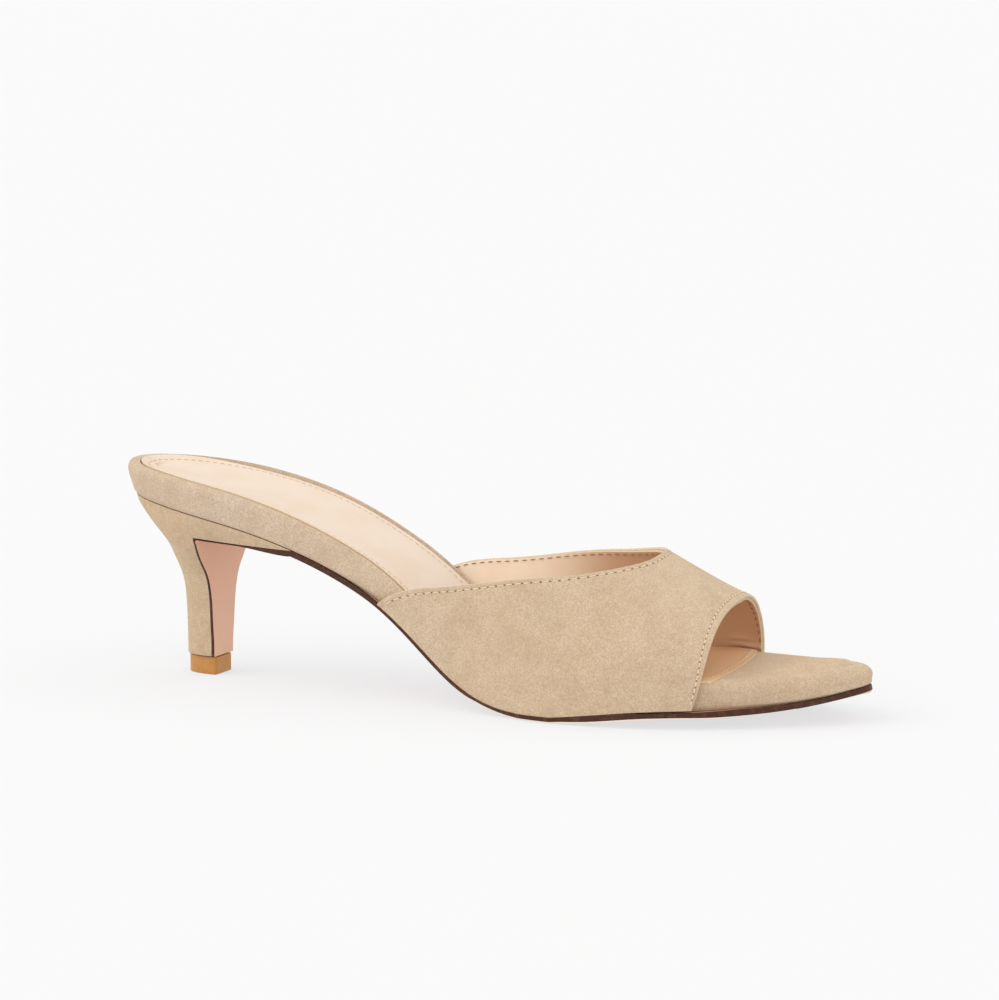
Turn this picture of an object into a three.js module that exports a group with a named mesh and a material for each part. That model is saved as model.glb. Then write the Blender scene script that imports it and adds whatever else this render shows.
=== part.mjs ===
// Peep toe mule for the right foot, on a kitten heel, in millimetres.
//
// Every curve of the shoe is a function of its station: the distance from the back of the seat
// towards the toe, as a share of the shoe's length. +X points to the toe, +Y to the medial side
// (the side of the big toe) and +Z up. The shoe stands on its heel tip and on the flat of the
// outsole under the ball of the foot.
import * as THREE from "three";
import { mergeVertices } from "three/addons/utils/BufferGeometryUtils.js";

// Overall sizes of the last
const SHOE_LENGTH = 239.4; // plan length, back of the seat to the toe tip
const BALL_WIDTH = 66; // plan width of the footbed at the ball of the foot
const SEAT_HEIGHT = 56; // underside of the footbed above the floor, at the back of the seat
const BALL_HEIGHT = 1.9; // underside of the footbed above the floor, at the ball
const TOE_SPRING = 9.4; // how far the toe tip is lifted above the ball
const TOE_SWING = 8.5; // how far the toe tip lies to the medial side
const TOE_SWING_START = 0.6; // station where the centre line starts to swing
const TOE_SWING_POWER = 1.5;

// Thicknesses and clearances
const GAP = 0.3; // between pieces that are glued together on the real shoe
const OUTSOLE_THICKNESS = 2.7; // at the front of the ball, with the glue under the footbed
const BREAST_THICKNESS = 0.9; // of the outsole where it covers the front of the heel
const FOOTBED_THICKNESS = 9.4;
const EDGE_RADIUS = (0.1209 * BALL_WIDTH ** 2) / SHOE_LENGTH; // rounding of the suede wrapped top edge
const BED_STEP = 0.7; // run of the step from the rim's crest down to the sock's bed
const SOCK_THICKNESS = 0.9;
const SOCK_CLEARANCE = 0.4; // between the sock's edge and the step around its bed
const VAMP_WALL = 1.8; // suede and lining together
const WELT = 0.2; // how far the outsole stands out past the vamp

// Heel
const BREAST_X = 30.6; // top of the stem's front face, from the back of the seat
const BREAST_LEAN = 0.7; // how far the foot of that face lies further back
const BREAST_TOP = 44.6; // height of the corner between the stem and the wing
const WING_TIP = 0.276; // station where the heel's wing runs out under the arch
const LIFT_HEIGHT = 5.5; // heel tip
const LIFT_INSET = 0.5; // how far the stem stands out past the heel tip at the back
const LIFT_SIDE_INSET = 1.1; // and at the sides
const SEAT_DRAFT = 2.3; // how far the rim slopes in from its widest line to the heel
const WAIST_DRAFT = 0.4; // and how far it still does under the arch
const BREAST_FILLET = 2.4; // inside radius where the outsole turns down the heel
const BREAST_CORNER = 0.6; // radius of that turn on the side that is glued to the heel

// Vamp
const BALL_GIRTH_HEIGHT = 53; // ridge of the vamp above the floor at station 0.68
const RIDGE_OFFSET = 2.6; // ridge of the vamp to the medial side of the centre line
const LATERAL_FULLNESS = 2.16; // superellipse exponent of the outer side of a section
const MEDIAL_FULLNESS = 2.2;
const SIDE_BULGE = 0.7; // how far the sides swell past the feather line
const COLLAR = { apex: 0.728, lateral: 0.398, medial: 0.389, lateralPower: 2.12, medialPower: 2.18 };
const TOE_EDGE = { apex: 0.837, lateral: 0.824, medial: 0.818, lateralPower: 2.62, medialPower: 0.73 };

// Front edge of the sock, an arc across the footbed just past the toe opening
const SOCK_FRONT = { station: 0.851, centre: -11, radius: 120 };

// Grid sizes
const RUNGS = 48; // across the length of the footbed
const VAMP_LENGTHWISE = 16;
const VAMP_ACROSS = 40;

// Half widths of the footbed, as shares of the ball width.
const OUTLINE = [
  { at: 0.0, lateral: 0.0, medial: 0.0 },
  { at: 0.02, lateral: 0.174, medial: 0.182 },
  { at: 0.06, lateral: 0.28, medial: 0.291 },
  { at: 0.12, lateral: 0.362, medial: 0.358 },
  { at: 0.18, lateral: 0.382, medial: 0.37 },
  { at: 0.3, lateral: 0.364, medial: 0.338 },
  { at: 0.4, lateral: 0.348, medial: 0.297 },
  { at: 0.5, lateral: 0.385, medial: 0.328 },
  { at: 0.6, lateral: 0.465, medial: 0.421 },
  { at: 0.68, lateral: 0.502, medial: 0.493 },
  { at: 0.75, lateral: 0.488, medial: 0.495 },
  { at: 0.82, lateral: 0.424, medial: 0.439 },
  { at: 0.88, lateral: 0.334, medial: 0.371 },
  { at: 0.94, lateral: 0.224, medial: 0.262 },
  { at: 0.975, lateral: 0.14, medial: 0.155 },
  { at: 1.0, lateral: 0.0, medial: 0.0 },
];

// Height of the footbed's underside behind the tread, as a share of the drop from the seat to
// the ball. Past its last row the tread is flat.
const SEAT_CURVE = [
  { at: 0.0, height: 1.0 },
  { at: 0.06, height: 0.971 },
  { at: 0.12, height: 0.937 },
  { at: 0.18, height: 0.891 },
  { at: 0.25, height: 0.813 },
  { at: 0.3, height: 0.734 },
  { at: 0.35, height: 0.634 },
  { at: 0.4, height: 0.508 },
  { at: 0.45, height: 0.335 },
  { at: 0.5, height: 0.155 },
  { at: 0.54, height: 0.058 },
  { at: 0.58, height: 0.012 },
  { at: 0.608, height: 0.0 },
];

// And in front of the tread, as a share of the toe spring
const TOE_CURVE = [
  { at: 0.648, height: 0.0 },
  { at: 0.7, height: 0.17 },
  { at: 0.75, height: 0.32 },
  { at: 0.82, height: 0.42 },
  { at: 0.9, height: 0.53 },
  { at: 0.95, height: 0.705 },
  { at: 1.0, height: 1.0 },
];

// Footbed: height of its rim, depth of the sock's bed below the rim and crown of the bed, all
// as shares of its thickness, and rounding of its edge as a share of the edge radius. Stepped is
// 1 where the sock lies in its bed and 0 where it reaches out to the wall of the vamp.
const FOOTBED = [
  { at: 0.0, rim: 1.07, bed: 0.22, crown: -0.1, radius: 1.0, stepped: 1.0 },
  { at: 0.2, rim: 1.06, bed: 0.2, crown: -0.08, radius: 0.95, stepped: 1.0 },
  { at: 0.3, rim: 1.03, bed: 0.18, crown: -0.04, radius: 0.75, stepped: 1.0 },
  { at: 0.4, rim: 1.02, bed: 0.16, crown: 0.0, radius: 0.7, stepped: 1.0 },
  { at: 0.45, rim: 1.0, bed: 0.13, crown: 0.03, radius: 0.7, stepped: 1.0 },
  { at: 0.5, rim: 0.94, bed: 0.06, crown: 0.06, radius: 0.7, stepped: 1.0 },
  { at: 0.54, rim: 0.89, bed: 0.0, crown: 0.08, radius: 0.7, stepped: 1.0 },
  { at: 0.58, rim: 0.86, bed: 0.0, crown: 0.09, radius: 0.7, stepped: 0.4 },
  { at: 0.7, rim: 0.86, bed: 0.0, crown: 0.1, radius: 0.8, stepped: 0.0 },
  { at: 0.8, rim: 0.88, bed: 0.0, crown: 0.07, radius: 1.1, stepped: 0.0 },
  { at: 0.85, rim: 0.88, bed: 0.0, crown: 0.07, radius: 1.5, stepped: 0.0 },
  { at: 0.9, rim: 0.86, bed: 0.0, crown: 0.13, radius: 1.9, stepped: 0.0 },
  { at: 0.95, rim: 0.8, bed: 0.0, crown: 0.15, radius: 2.0, stepped: 0.0 },
  { at: 1.0, rim: 0.64, bed: 0.0, crown: 0.08, radius: 2.0, stepped: 0.0 },
];

// Outsole: margin is how far it stands out past the footbed, in shares of the vamp's room
// between the footbed and the sole's edge.
// Thickness at its trimmed edge and belly, which is what its middle is thicker than its edge,
// are shares of its full thickness.
const SOLE = [
  { at: 0.0, margin: -0.25, thickness: 0.69, belly: 0.3 },
  { at: WING_TIP, margin: -0.25, thickness: 0.69, belly: 0.3 },
  { at: 0.34, margin: 0.0, thickness: 0.61, belly: 0.35 },
  { at: 0.42, margin: 0.8, thickness: 0.44, belly: 0.45 },
  { at: 0.5, margin: 1.0, thickness: 0.41, belly: 0.45 },
  { at: 0.56, margin: 1.0, thickness: 0.5, belly: 0.3 },
  { at: 0.6, margin: 1.0, thickness: 0.7, belly: 0.05 },
  { at: 0.63, margin: 1.0, thickness: 0.75, belly: 0.0 },
  { at: 0.66, margin: 1.0, thickness: 0.8, belly: 0.0 },
  { at: 0.69, margin: 1.0, thickness: 0.94, belly: 0.0 },
  { at: 0.75, margin: 1.0, thickness: 1.0, belly: 0.0 },
  { at: 0.82, margin: 0.95, thickness: 0.93, belly: 0.0 },
  { at: 0.88, margin: 0.5, thickness: 0.75, belly: 0.1 },
  { at: 0.94, margin: 0.2, thickness: 0.58, belly: 0.2 },
  { at: 1.0, margin: -0.15, thickness: 0.52, belly: 0.2 },
];

// Ridge of the vamp's sections, as a share of the height at the ball. The first two rows stand
// for the instep of the foot, and shape the side flaps, which are cut off below them.
const RIDGE = [
  { at: 0.36, height: 3.07 },
  { at: 0.5, height: 2.04 },
  { at: 0.66, height: 1.078 },
  { at: 0.73, height: 0.875 },
  { at: 0.8, height: 0.716 },
  { at: 0.86, height: 0.609 },
];

// Heel stem: half width as a share of the breast's half width at the top, and depth from the
// breast to the back as a share of the breast's distance from the back of the seat. Height is
// a share of the drop from the seat to the floor.
const BREAST_HALF_WIDTH = 19.2;
const STEM = [
  { height: 0.09, halfWidth: 0.333, depth: 0.372 },
  { height: 0.18, halfWidth: 0.338, depth: 0.374 },
  { height: 0.28, halfWidth: 0.37, depth: 0.375 },
  { height: 0.4, halfWidth: 0.405, depth: 0.382 },
  { height: 0.5, halfWidth: 0.47, depth: 0.396 },
  { height: 0.58, halfWidth: 0.585, depth: 0.426 },
  { height: 0.66, halfWidth: 0.78, depth: 0.467 },
  { height: 0.74, halfWidth: 0.93, depth: 0.526 },
  { height: 0.79, halfWidth: 1.0, depth: 0.602 },
  { height: 0.85, halfWidth: 1.06, depth: 0.712 },
  { height: 0.91, halfWidth: 1.1, depth: 0.82 },
  { height: 0.96, halfWidth: 1.12, depth: 0.892 },
  { height: 1.0, halfWidth: 1.14, depth: 0.914 },
];

// Natural cubic spline through one column of a table, as a function of another column.
function column(table, name, key = "at") {
  const x = table.map((row) => row[key]);
  const y = table.map((row) => row[name]);
  const n = x.length;
  const bend = new Array(n).fill(0);
  const work = new Array(n).fill(0);
  for (let i = 1; i < n - 1; i++) {
    const share = (x[i] - x[i - 1]) / (x[i + 1] - x[i - 1]);
    const pivot = share * bend[i - 1] + 2;
    const turn = (y[i + 1] - y[i]) / (x[i + 1] - x[i]) - (y[i] - y[i - 1]) / (x[i] - x[i - 1]);
    bend[i] = (share - 1) / pivot;
    work[i] = ((6 * turn) / (x[i + 1] - x[i - 1]) - share * work[i - 1]) / pivot;
  }
  bend[n - 1] = 0;
  for (let i = n - 2; i >= 0; i--) bend[i] = bend[i] * bend[i + 1] + work[i];
  return (at) => {
    const q = Math.min(Math.max(at, x[0]), x[n - 1]);
    let k = 0;
    while (k < n - 2 && q > x[k + 1]) k++;
    const h = x[k + 1] - x[k];
    const a = (x[k + 1] - q) / h;
    const b = (q - x[k]) / h;
    const cubic = ((a ** 3 - a) * bend[k] + (b ** 3 - b) * bend[k + 1]) * ((h * h) / 6);
    return a * y[k] + b * y[k + 1] + cubic;
  };
}

const lerp = (a, b, t) => a + (b - a) * t;
const clamp01 = (t) => Math.min(Math.max(t, 0), 1);
const smooth = (t) => clamp01(t) ** 2 * (3 - 2 * clamp01(t));
const point = (x, y, z) => new THREE.Vector3(x, y, z);

// The outline's splines run through squared half widths, which keeps both ends round.
const SQUARED = OUTLINE.map(({ at, lateral, medial }) => ({
  at,
  lateral: lateral ** 2,
  medial: medial ** 2,
}));
const lateralSquared = column(SQUARED, "lateral");
const medialSquared = column(SQUARED, "medial");
const seatShare = column(SEAT_CURVE, "height");
const springShare = column(TOE_CURVE, "height");
const footbedRim = column(FOOTBED, "rim");
const footbedBed = column(FOOTBED, "bed");
const footbedCrown = column(FOOTBED, "crown");
const footbedRadius = column(FOOTBED, "radius");
const sockStepped = column(FOOTBED, "stepped");
const soleMargin = column(SOLE, "margin");
const soleThickness = column(SOLE, "thickness");
const soleBelly = column(SOLE, "belly");
const ridgeShare = column(RIDGE, "height");
const stemHalfWidth = column(STEM, "halfWidth", "height");
const stemDepth = column(STEM, "depth", "height");

const WALL_ROOM = VAMP_WALL + GAP;

// Centre line and half widths of the shoe at a station
function centreY(at) {
  return TOE_SWING * clamp01((at - TOE_SWING_START) / (1 - TOE_SWING_START)) ** TOE_SWING_POWER;
}

function halfWidth(at, side) {
  const squared = side < 0 ? lateralSquared(at) : medialSquared(at);
  return BALL_WIDTH * Math.sqrt(Math.max(squared, 0));
}

// Underside of the footbed, which is the shoe's feather line, at a station
function featherZ(at) {
  const seat = Math.max(seatShare(at), 0) * (SEAT_HEIGHT - BALL_HEIGHT);
  return BALL_HEIGHT + seat + Math.max(springShare(at), 0) * TOE_SPRING;
}

// One side of the outline moved inwards by inset(at), as a function x -> y with its own range.
// Side is -1 on the lateral side and 1 on the medial side.
function insetEdge(side, inset) {
  const SAMPLES = 360;
  const STEP = 1e-4;
  const xs = [];
  const ys = [];
  const edge = (at) => [at * SHOE_LENGTH, centreY(at) + side * halfWidth(at, side)];
  for (let i = 0; i <= SAMPLES; i++) {
    const at = (1 - Math.cos((Math.PI * i) / SAMPLES)) / 2;
    const [x0, y0] = edge(Math.max(at - STEP, 0));
    const [x1, y1] = edge(Math.min(at + STEP, 1));
    const length = Math.hypot(x1 - x0, y1 - y0);
    const [x, y] = edge(at);
    const atTip = i === 0 || i === SAMPLES;
    const nx = atTip ? (i === 0 ? -1 : 1) : (-side * (y1 - y0)) / length;
    const ny = atTip ? 0 : (side * (x1 - x0)) / length;
    const nextX = x - nx * inset(at);
    if (xs.length && nextX <= xs[xs.length - 1]) continue;
    xs.push(nextX);
    ys.push(y - ny * inset(at));
  }
  const last = xs.length - 1;
  const lookUp = (x) => {
    const q = Math.min(Math.max(x, xs[0]), xs[last]);
    let k = 0;
    while (k < last - 1 && q > xs[k + 1]) k++;
    return lerp(ys[k], ys[k + 1], (q - xs[k]) / (xs[k + 1] - xs[k]));
  };
  return { y: lookUp, from: xs[0], to: xs[last] };
}

// Both sides of the outline moved inwards by inset(at), read at a share of their length
function insetRing(inset) {
  const lateral = insetEdge(-1, inset);
  const medial = insetEdge(1, inset);
  const tipY = (atToe) => (atToe ? centreY(1) : centreY(0));
  return (share, side) => {
    const edge = side < 0 ? lateral : medial;
    const x = lerp(edge.from, edge.to, share);
    const atTip = share === 0 || share === 1;
    return [x, atTip ? tipY(share === 1) : edge.y(x)];
  };
}

// Shares from 0 to 1, close together at both ends
function cosineShares(count) {
  return Array.from({ length: count + 1 }, (_, i) => (1 - Math.cos((Math.PI * i) / count)) / 2);
}

function evenShares(count) {
  return Array.from({ length: count + 1 }, (_, i) => i / count);
}

// A closed geometry from quads of corner points. Equal corners are merged, and faces that
// collapse, where a piece runs out to a point, are dropped.
function closedGeometry(quads) {
  const position = [];
  const same = (p, q) => p.distanceToSquared(q) < 1e-6;
  const triangle = (a, b, c) => {
    if (same(a, b) || same(b, c) || same(c, a)) return;
    for (const p of [a, b, c]) position.push(p.x, p.y, p.z);
  };
  for (const [a, b, c, d] of quads) {
    triangle(a, b, c);
    triangle(a, c, d);
  }
  const geometry = new THREE.BufferGeometry();
  geometry.setAttribute("position", new THREE.Float32BufferAttribute(position, 3));
  return mergeVertices(geometry, 1e-3);
}

// The solid between an upper and a lower grid of points with the same rows and columns. Rows
// run from the lateral to the medial side. A row that has collapsed to a point needs no end.
function slab(upper, lower, { openStart = true, openEnd = true } = {}) {
  const quads = [];
  const last = upper.length - 1;
  const edge = upper[0].length - 1;
  for (let i = 0; i < last; i++) {
    for (let j = 0; j < edge; j++) {
      quads.push([upper[i][j], upper[i + 1][j], upper[i + 1][j + 1], upper[i][j + 1]]);
      quads.push([lower[i][j], lower[i][j + 1], lower[i + 1][j + 1], lower[i + 1][j]]);
    }
    quads.push([lower[i][0], lower[i + 1][0], upper[i + 1][0], upper[i][0]]);
    quads.push([upper[i][edge], upper[i + 1][edge], lower[i + 1][edge], lower[i][edge]]);
  }
  for (let j = 0; j < edge; j++) {
    if (openStart) quads.push([upper[0][j], upper[0][j + 1], lower[0][j + 1], lower[0][j]]);
    if (openEnd) quads.push([lower[last][j], lower[last][j + 1], upper[last][j + 1], upper[last][j]]);
  }
  return closedGeometry(quads);
}

function named(name, geometry, color, roughness, metalness = 0) {
  const material = new THREE.MeshStandardMaterial({ color, roughness, metalness });
  const mesh = new THREE.Mesh(geometry, material);
  mesh.name = name;
  return mesh;
}

// Footbed: a cushioned board with its rim wrapped in suede, and a shallow bed for the sock
const seatDraft = (at) => lerp(SEAT_DRAFT, WAIST_DRAFT, smooth(at / WING_TIP));
const edgeRadius = (at) => footbedRadius(at) * EDGE_RADIUS;
const bedInset = (at) => edgeRadius(at) + BED_STEP;

const rimZ = (at) => featherZ(at) + footbedRim(at) * FOOTBED_THICKNESS;

// The sock's bed; across is -1 at its lateral edge and 1 at its medial edge
function bedZ(at, across) {
  const crown = footbedCrown(at) * (1 - across ** 2);
  return rimZ(at) + (crown - Math.max(footbedBed(at), 0)) * FOOTBED_THICKNESS;
}

// Levels of the rim from the heel seam up over its crest. Draft and radius say how far a level
// lies inside the rim's widest line, as shares of the seat's draft and of the edge radius.
const SEAM = { draft: 1, radius: 0, height: 0 };
const FLANK = { draft: 0.5, radius: 0, height: 0.34 };
const WIDEST = { draft: 0, radius: 0, height: 0.7 };
const ROUNDED = { draft: 0, radius: 0.3, height: 0.91 };
const CREST = { draft: 0, radius: 1, height: 1 };

function footbedGeometry() {
  const INTERIOR = 6;
  const level = ({ draft, radius, height }) => ({
    ring: insetRing((at) => draft * seatDraft(at) + radius * edgeRadius(at)),
    height,
  });
  const seam = level(SEAM);
  const topLevels = [FLANK, WIDEST, ROUNDED, CREST].map(level);
  const bed = insetRing(bedInset);
  const rimPoint = ({ ring, height }, share, side) => {
    const [x, y] = ring(share, side);
    const at = x / SHOE_LENGTH;
    return point(x, y, lerp(featherZ(at), rimZ(at), height));
  };
  const upper = [];
  const lower = [];
  for (const share of cosineShares(RUNGS)) {
    const row = topLevels.map((line) => rimPoint(line, share, -1));
    const [x, lateralY] = bed(share, -1);
    const [, medialY] = bed(share, 1);
    for (let j = 0; j <= INTERIOR; j++) {
      const atTip = share === 0 || share === 1;
      const across = atTip ? 1 : (2 * j) / INTERIOR - 1;
      row.push(point(x, lerp(lateralY, medialY, j / INTERIOR), bedZ(x / SHOE_LENGTH, across)));
    }
    row.push(...topLevels.map((line) => rimPoint(line, share, 1)).reverse());
    upper.push(row);
    const near = rimPoint(seam, share, -1);
    const far = rimPoint(seam, share, 1);
    lower.push(row.map((_, j) => near.clone().lerp(far, j / (row.length - 1))));
  }
  return slab(upper, lower, { openStart: false, openEnd: false });
}

// Height of the footbed's top at a distance inside its edge
function topZ(at, inset) {
  const radius = edgeRadius(at);
  const level = (height) => lerp(featherZ(at), rimZ(at), height);
  if (inset < ROUNDED.radius * radius) {
    return level(lerp(WIDEST.height, ROUNDED.height, inset / (ROUNDED.radius * radius)));
  }
  if (inset < radius) {
    const share = (inset / radius - ROUNDED.radius) / (CREST.radius - ROUNDED.radius);
    return level(lerp(ROUNDED.height, CREST.height, share));
  }
  const share = clamp01((inset - radius) / BED_STEP);
  return lerp(rimZ(at), bedZ(at, 1), share);
}

// Sock: the leather sheet glued into its bed, cut off by an arc at the toe opening. Towards the
// toe the bed's step fades out, and the sheet bends over the rounded edge of the footbed.
function sockInset(at) {
  const overRim = ROUNDED.radius * edgeRadius(at);
  return SOCK_CLEARANCE + lerp(overRim, bedInset(at), clamp01(sockStepped(at)));
}

// Distances of the sheet's outer columns from the footbed's edge
const SOCK_BORDER = 0.6;
const SOCK_COLUMNS = [sockInset, (at) => Math.max(sockInset(at) + SOCK_BORDER, edgeRadius(at))];

function sockFrontX(y) {
  const { station, centre, radius } = SOCK_FRONT;
  return station * SHOE_LENGTH - (y - centre) ** 2 / (2 * radius);
}

function sockGeometry() {
  const INTERIOR = 6;
  const edges = SOCK_COLUMNS.map((inset) => ({
    inset,
    lateral: insetEdge(-1, inset),
    medial: insetEdge(1, inset),
  }));
  const inner = edges[edges.length - 1];
  const edgeColumn = (side) => ({ inset, lateral, medial }) => ({
    y: side < 0 ? lateral.y : medial.y,
    z: (at) => topZ(at, inset(at)),
  });
  const columns = edges.map(edgeColumn(-1));
  for (let j = 1; j < INTERIOR; j++) {
    const share = j / INTERIOR;
    columns.push({
      y: (x) => lerp(inner.lateral.y(x), inner.medial.y(x), share),
      z: (at) => bedZ(at, 2 * share - 1),
    });
  }
  columns.push(...edges.map(edgeColumn(1)).reverse());
  const from = edges[0].lateral.from;
  const frontX = SOCK_FRONT.station * SHOE_LENGTH;
  const upper = [];
  const lower = [];
  // Close together at the round back of the seat, even at the straight front
  for (const share of evenShares(RUNGS).map((t) => 1 - Math.cos((Math.PI / 2) * t))) {
    const bottom = columns.map((place) => {
      const x = lerp(from, sockFrontX(place.y(frontX)), share);
      if (share === 0) return point(x, centreY(0), bedZ(0, 1) + GAP);
      return point(x, place.y(x), place.z(x / SHOE_LENGTH) + GAP);
    });
    lower.push(bottom);
    upper.push(bottom.map(({ x, y, z }) => point(x, y, z + SOCK_THICKNESS)));
  }
  return slab(upper, lower);
}

// Vamp: one wall over the foot. A section is an arch from the lateral feather line over the
// ridge to the medial feather line, and across runs from 0 to 1 along it.
function vampSection(at, across) {
  const side = across < 0.5 ? -1 : 1;
  const angle = Math.PI * (1 - across);
  const exponent = 2 / (side < 0 ? LATERAL_FULLNESS : MEDIAL_FULLNESS);
  const out = Math.abs(Math.cos(angle)) ** exponent;
  const up = Math.abs(Math.sin(angle)) ** exponent;
  const reach = halfWidth(at, side) + WALL_ROOM - side * RIDGE_OFFSET;
  const swell = SIDE_BULGE * Math.sin(Math.PI * up) * out;
  const base = featherZ(at);
  const ridge = BALL_GIRTH_HEIGHT * ridgeShare(at);
  const y = centreY(at) + RIDGE_OFFSET + side * (reach * out + swell);
  return point(at * SHOE_LENGTH, y, lerp(base, ridge, up));
}

// Station of a cut edge, the collar or the toe opening, at a place across the arch
function cutStation(edge, across) {
  const side = 1 - 2 * across;
  const share = Math.abs(side) ** (side > 0 ? edge.lateralPower : edge.medialPower);
  return lerp(edge.apex, side > 0 ? edge.lateral : edge.medial, share);
}

function vampOuter(along, across) {
  const at = lerp(cutStation(COLLAR, across), cutStation(TOE_EDGE, across), along);
  return vampSection(at, across);
}

// The wall's inside lies one wall thickness in from the outside, along its normal.
function vampInner(along, across) {
  const STEP = 1e-3;
  const outer = vampOuter(along, across);
  const lengthwise = vampOuter(along + STEP, across).sub(vampOuter(along - STEP, across));
  const low = Math.max(across - STEP, 0);
  const high = Math.min(across + STEP, 1);
  const crosswise = vampOuter(along, high).sub(vampOuter(along, low));
  const normal = lengthwise.cross(crosswise).normalize();
  const inner = outer.clone().addScaledVector(normal, -VAMP_WALL);
  if (across === 0 || across === 1) inner.z = featherZ(inner.x / SHOE_LENGTH);
  return inner;
}

function vampGeometry() {
  const lengthwise = evenShares(VAMP_LENGTHWISE);
  // Closer together near the feet of the arch, where its sides curve most
  const CROWDING = 0.5;
  const crosswise = cosineShares(VAMP_ACROSS).map((eased, i) => lerp(i / VAMP_ACROSS, eased, CROWDING));
  const grid = (surface) => lengthwise.map((along) => crosswise.map((across) => surface(along, across)));
  return slab(grid(vampOuter), grid(vampInner));
}

// Heel block: a stem under the seat with a wing that runs out under the arch
const CORNER_FADE = 0.3; // of a section's depth behind the stem's corner
const wingTipX = WING_TIP * SHOE_LENGTH;
const seatInset = (at) => seatDraft(at) + GAP;
const seatEdges = { [-1]: insetEdge(-1, seatInset), [1]: insetEdge(1, seatInset) };

const stemHalf = (z) => BREAST_HALF_WIDTH * stemHalfWidth(z / SEAT_HEIGHT);
const breastX = (z) => BREAST_X - BREAST_LEAN * clamp01(1 - z / BREAST_TOP);
const stemBackX = (z) => BREAST_X * (1 - stemDepth(z / SEAT_HEIGHT));
const heelTopZ = (x) => featherZ(x / SHOE_LENGTH) - GAP;
const wingTipZ = heelTopZ(wingTipX);

// Half width of the wing's lower edge, from the stem's corner out to the wing tip
function wingHalf(x, side) {
  const share = clamp01((x - BREAST_X) / (wingTipX - BREAST_X));
  const tip = Math.abs(seatEdges[side].y(wingTipX));
  return lerp(BREAST_HALF_WIDTH, tip, Math.sin((Math.PI / 2) * share));
}

const wingLowerZ = (x) => lerp(BREAST_TOP, wingTipZ, clamp01((x - BREAST_X) / (wingTipX - BREAST_X)));

// Half width of the heel at a place on its wall. Up to the breast's top a section is half an
// ellipse behind the breast. Above it the wall flares out to the seat's outline, and in front of
// the breast it is the wing, between its lower edge and the seat. Behind the stem's corner the
// wing's flare fades into one that starts as smoothly as the stem ends.
function heelHalf(x, z, side) {
  const seat = seatEdges[side];
  const lowerZ = wingLowerZ(x);
  const climb = clamp01((z - lowerZ) / Math.max(heelTopZ(x) - lowerZ, GAP));
  const flare = Math.sin((Math.PI / 2) * climb);
  if (x > BREAST_X) return lerp(wingHalf(x, side), Math.abs(seat.y(x)), flare);
  const front = breastX(z);
  const behind = clamp01((front - x) / (front - stemBackX(z)));
  const bow = Math.sqrt(1 - behind ** 2);
  const round = Math.abs(seat.y(lerp(front, seat.from, behind)));
  const atCorner = lerp(stemHalf(Math.min(z, BREAST_TOP)) * bow, round, flare);
  const atBack = lerp(stemHalf(z) * bow, round, smooth(climb));
  return lerp(atCorner, atBack, clamp01(behind / CORNER_FADE));
}

// Share of the heel's height up to the corner between the stem and the wing
const CORNER_SHARE = 0.75;
const HEEL_BOTTOM = LIFT_HEIGHT + GAP;
const aboveCorner = (up) => clamp01((up - CORNER_SHARE) / (1 - CORNER_SHARE));

// Side wall of the stem: round runs from the middle of the back to the front edge, and up from
// the heel tip to the seat. The seat's own curve fades out towards the floor.
function stemWall(round, up, side) {
  const SEAT_FADE = 3;
  const seatFrom = seatEdges[side].from;
  const backZ = lerp(HEEL_BOTTOM, heelTopZ(seatFrom), up);
  const backX = up === 1 ? seatFrom : stemBackX(backZ);
  const stemZ = lerp(HEEL_BOTTOM, BREAST_TOP, clamp01(up / CORNER_SHARE));
  const frontZ = lerp(stemZ, heelTopZ(BREAST_X), aboveCorner(up));
  const frontX = breastX(frontZ);
  const share = 1 - Math.cos((Math.PI / 2) * round);
  const x = lerp(backX, frontX, share);
  const chord = lerp(heelTopZ(seatFrom), heelTopZ(frontX), share);
  const z = lerp(backZ, frontZ, share) + up ** SEAT_FADE * (heelTopZ(x) - chord);
  return point(x, round === 0 ? 0 : side * heelHalf(x, z, side), z);
}

// Side wall of the wing: out runs from the stem's corner to the wing's tip
function wingWall(out, up, side) {
  const x = lerp(BREAST_X, wingTipX, out);
  const z = lerp(wingLowerZ(x), heelTopZ(x), aboveCorner(up));
  return point(x, side * heelHalf(x, z, side), z);
}

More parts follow.
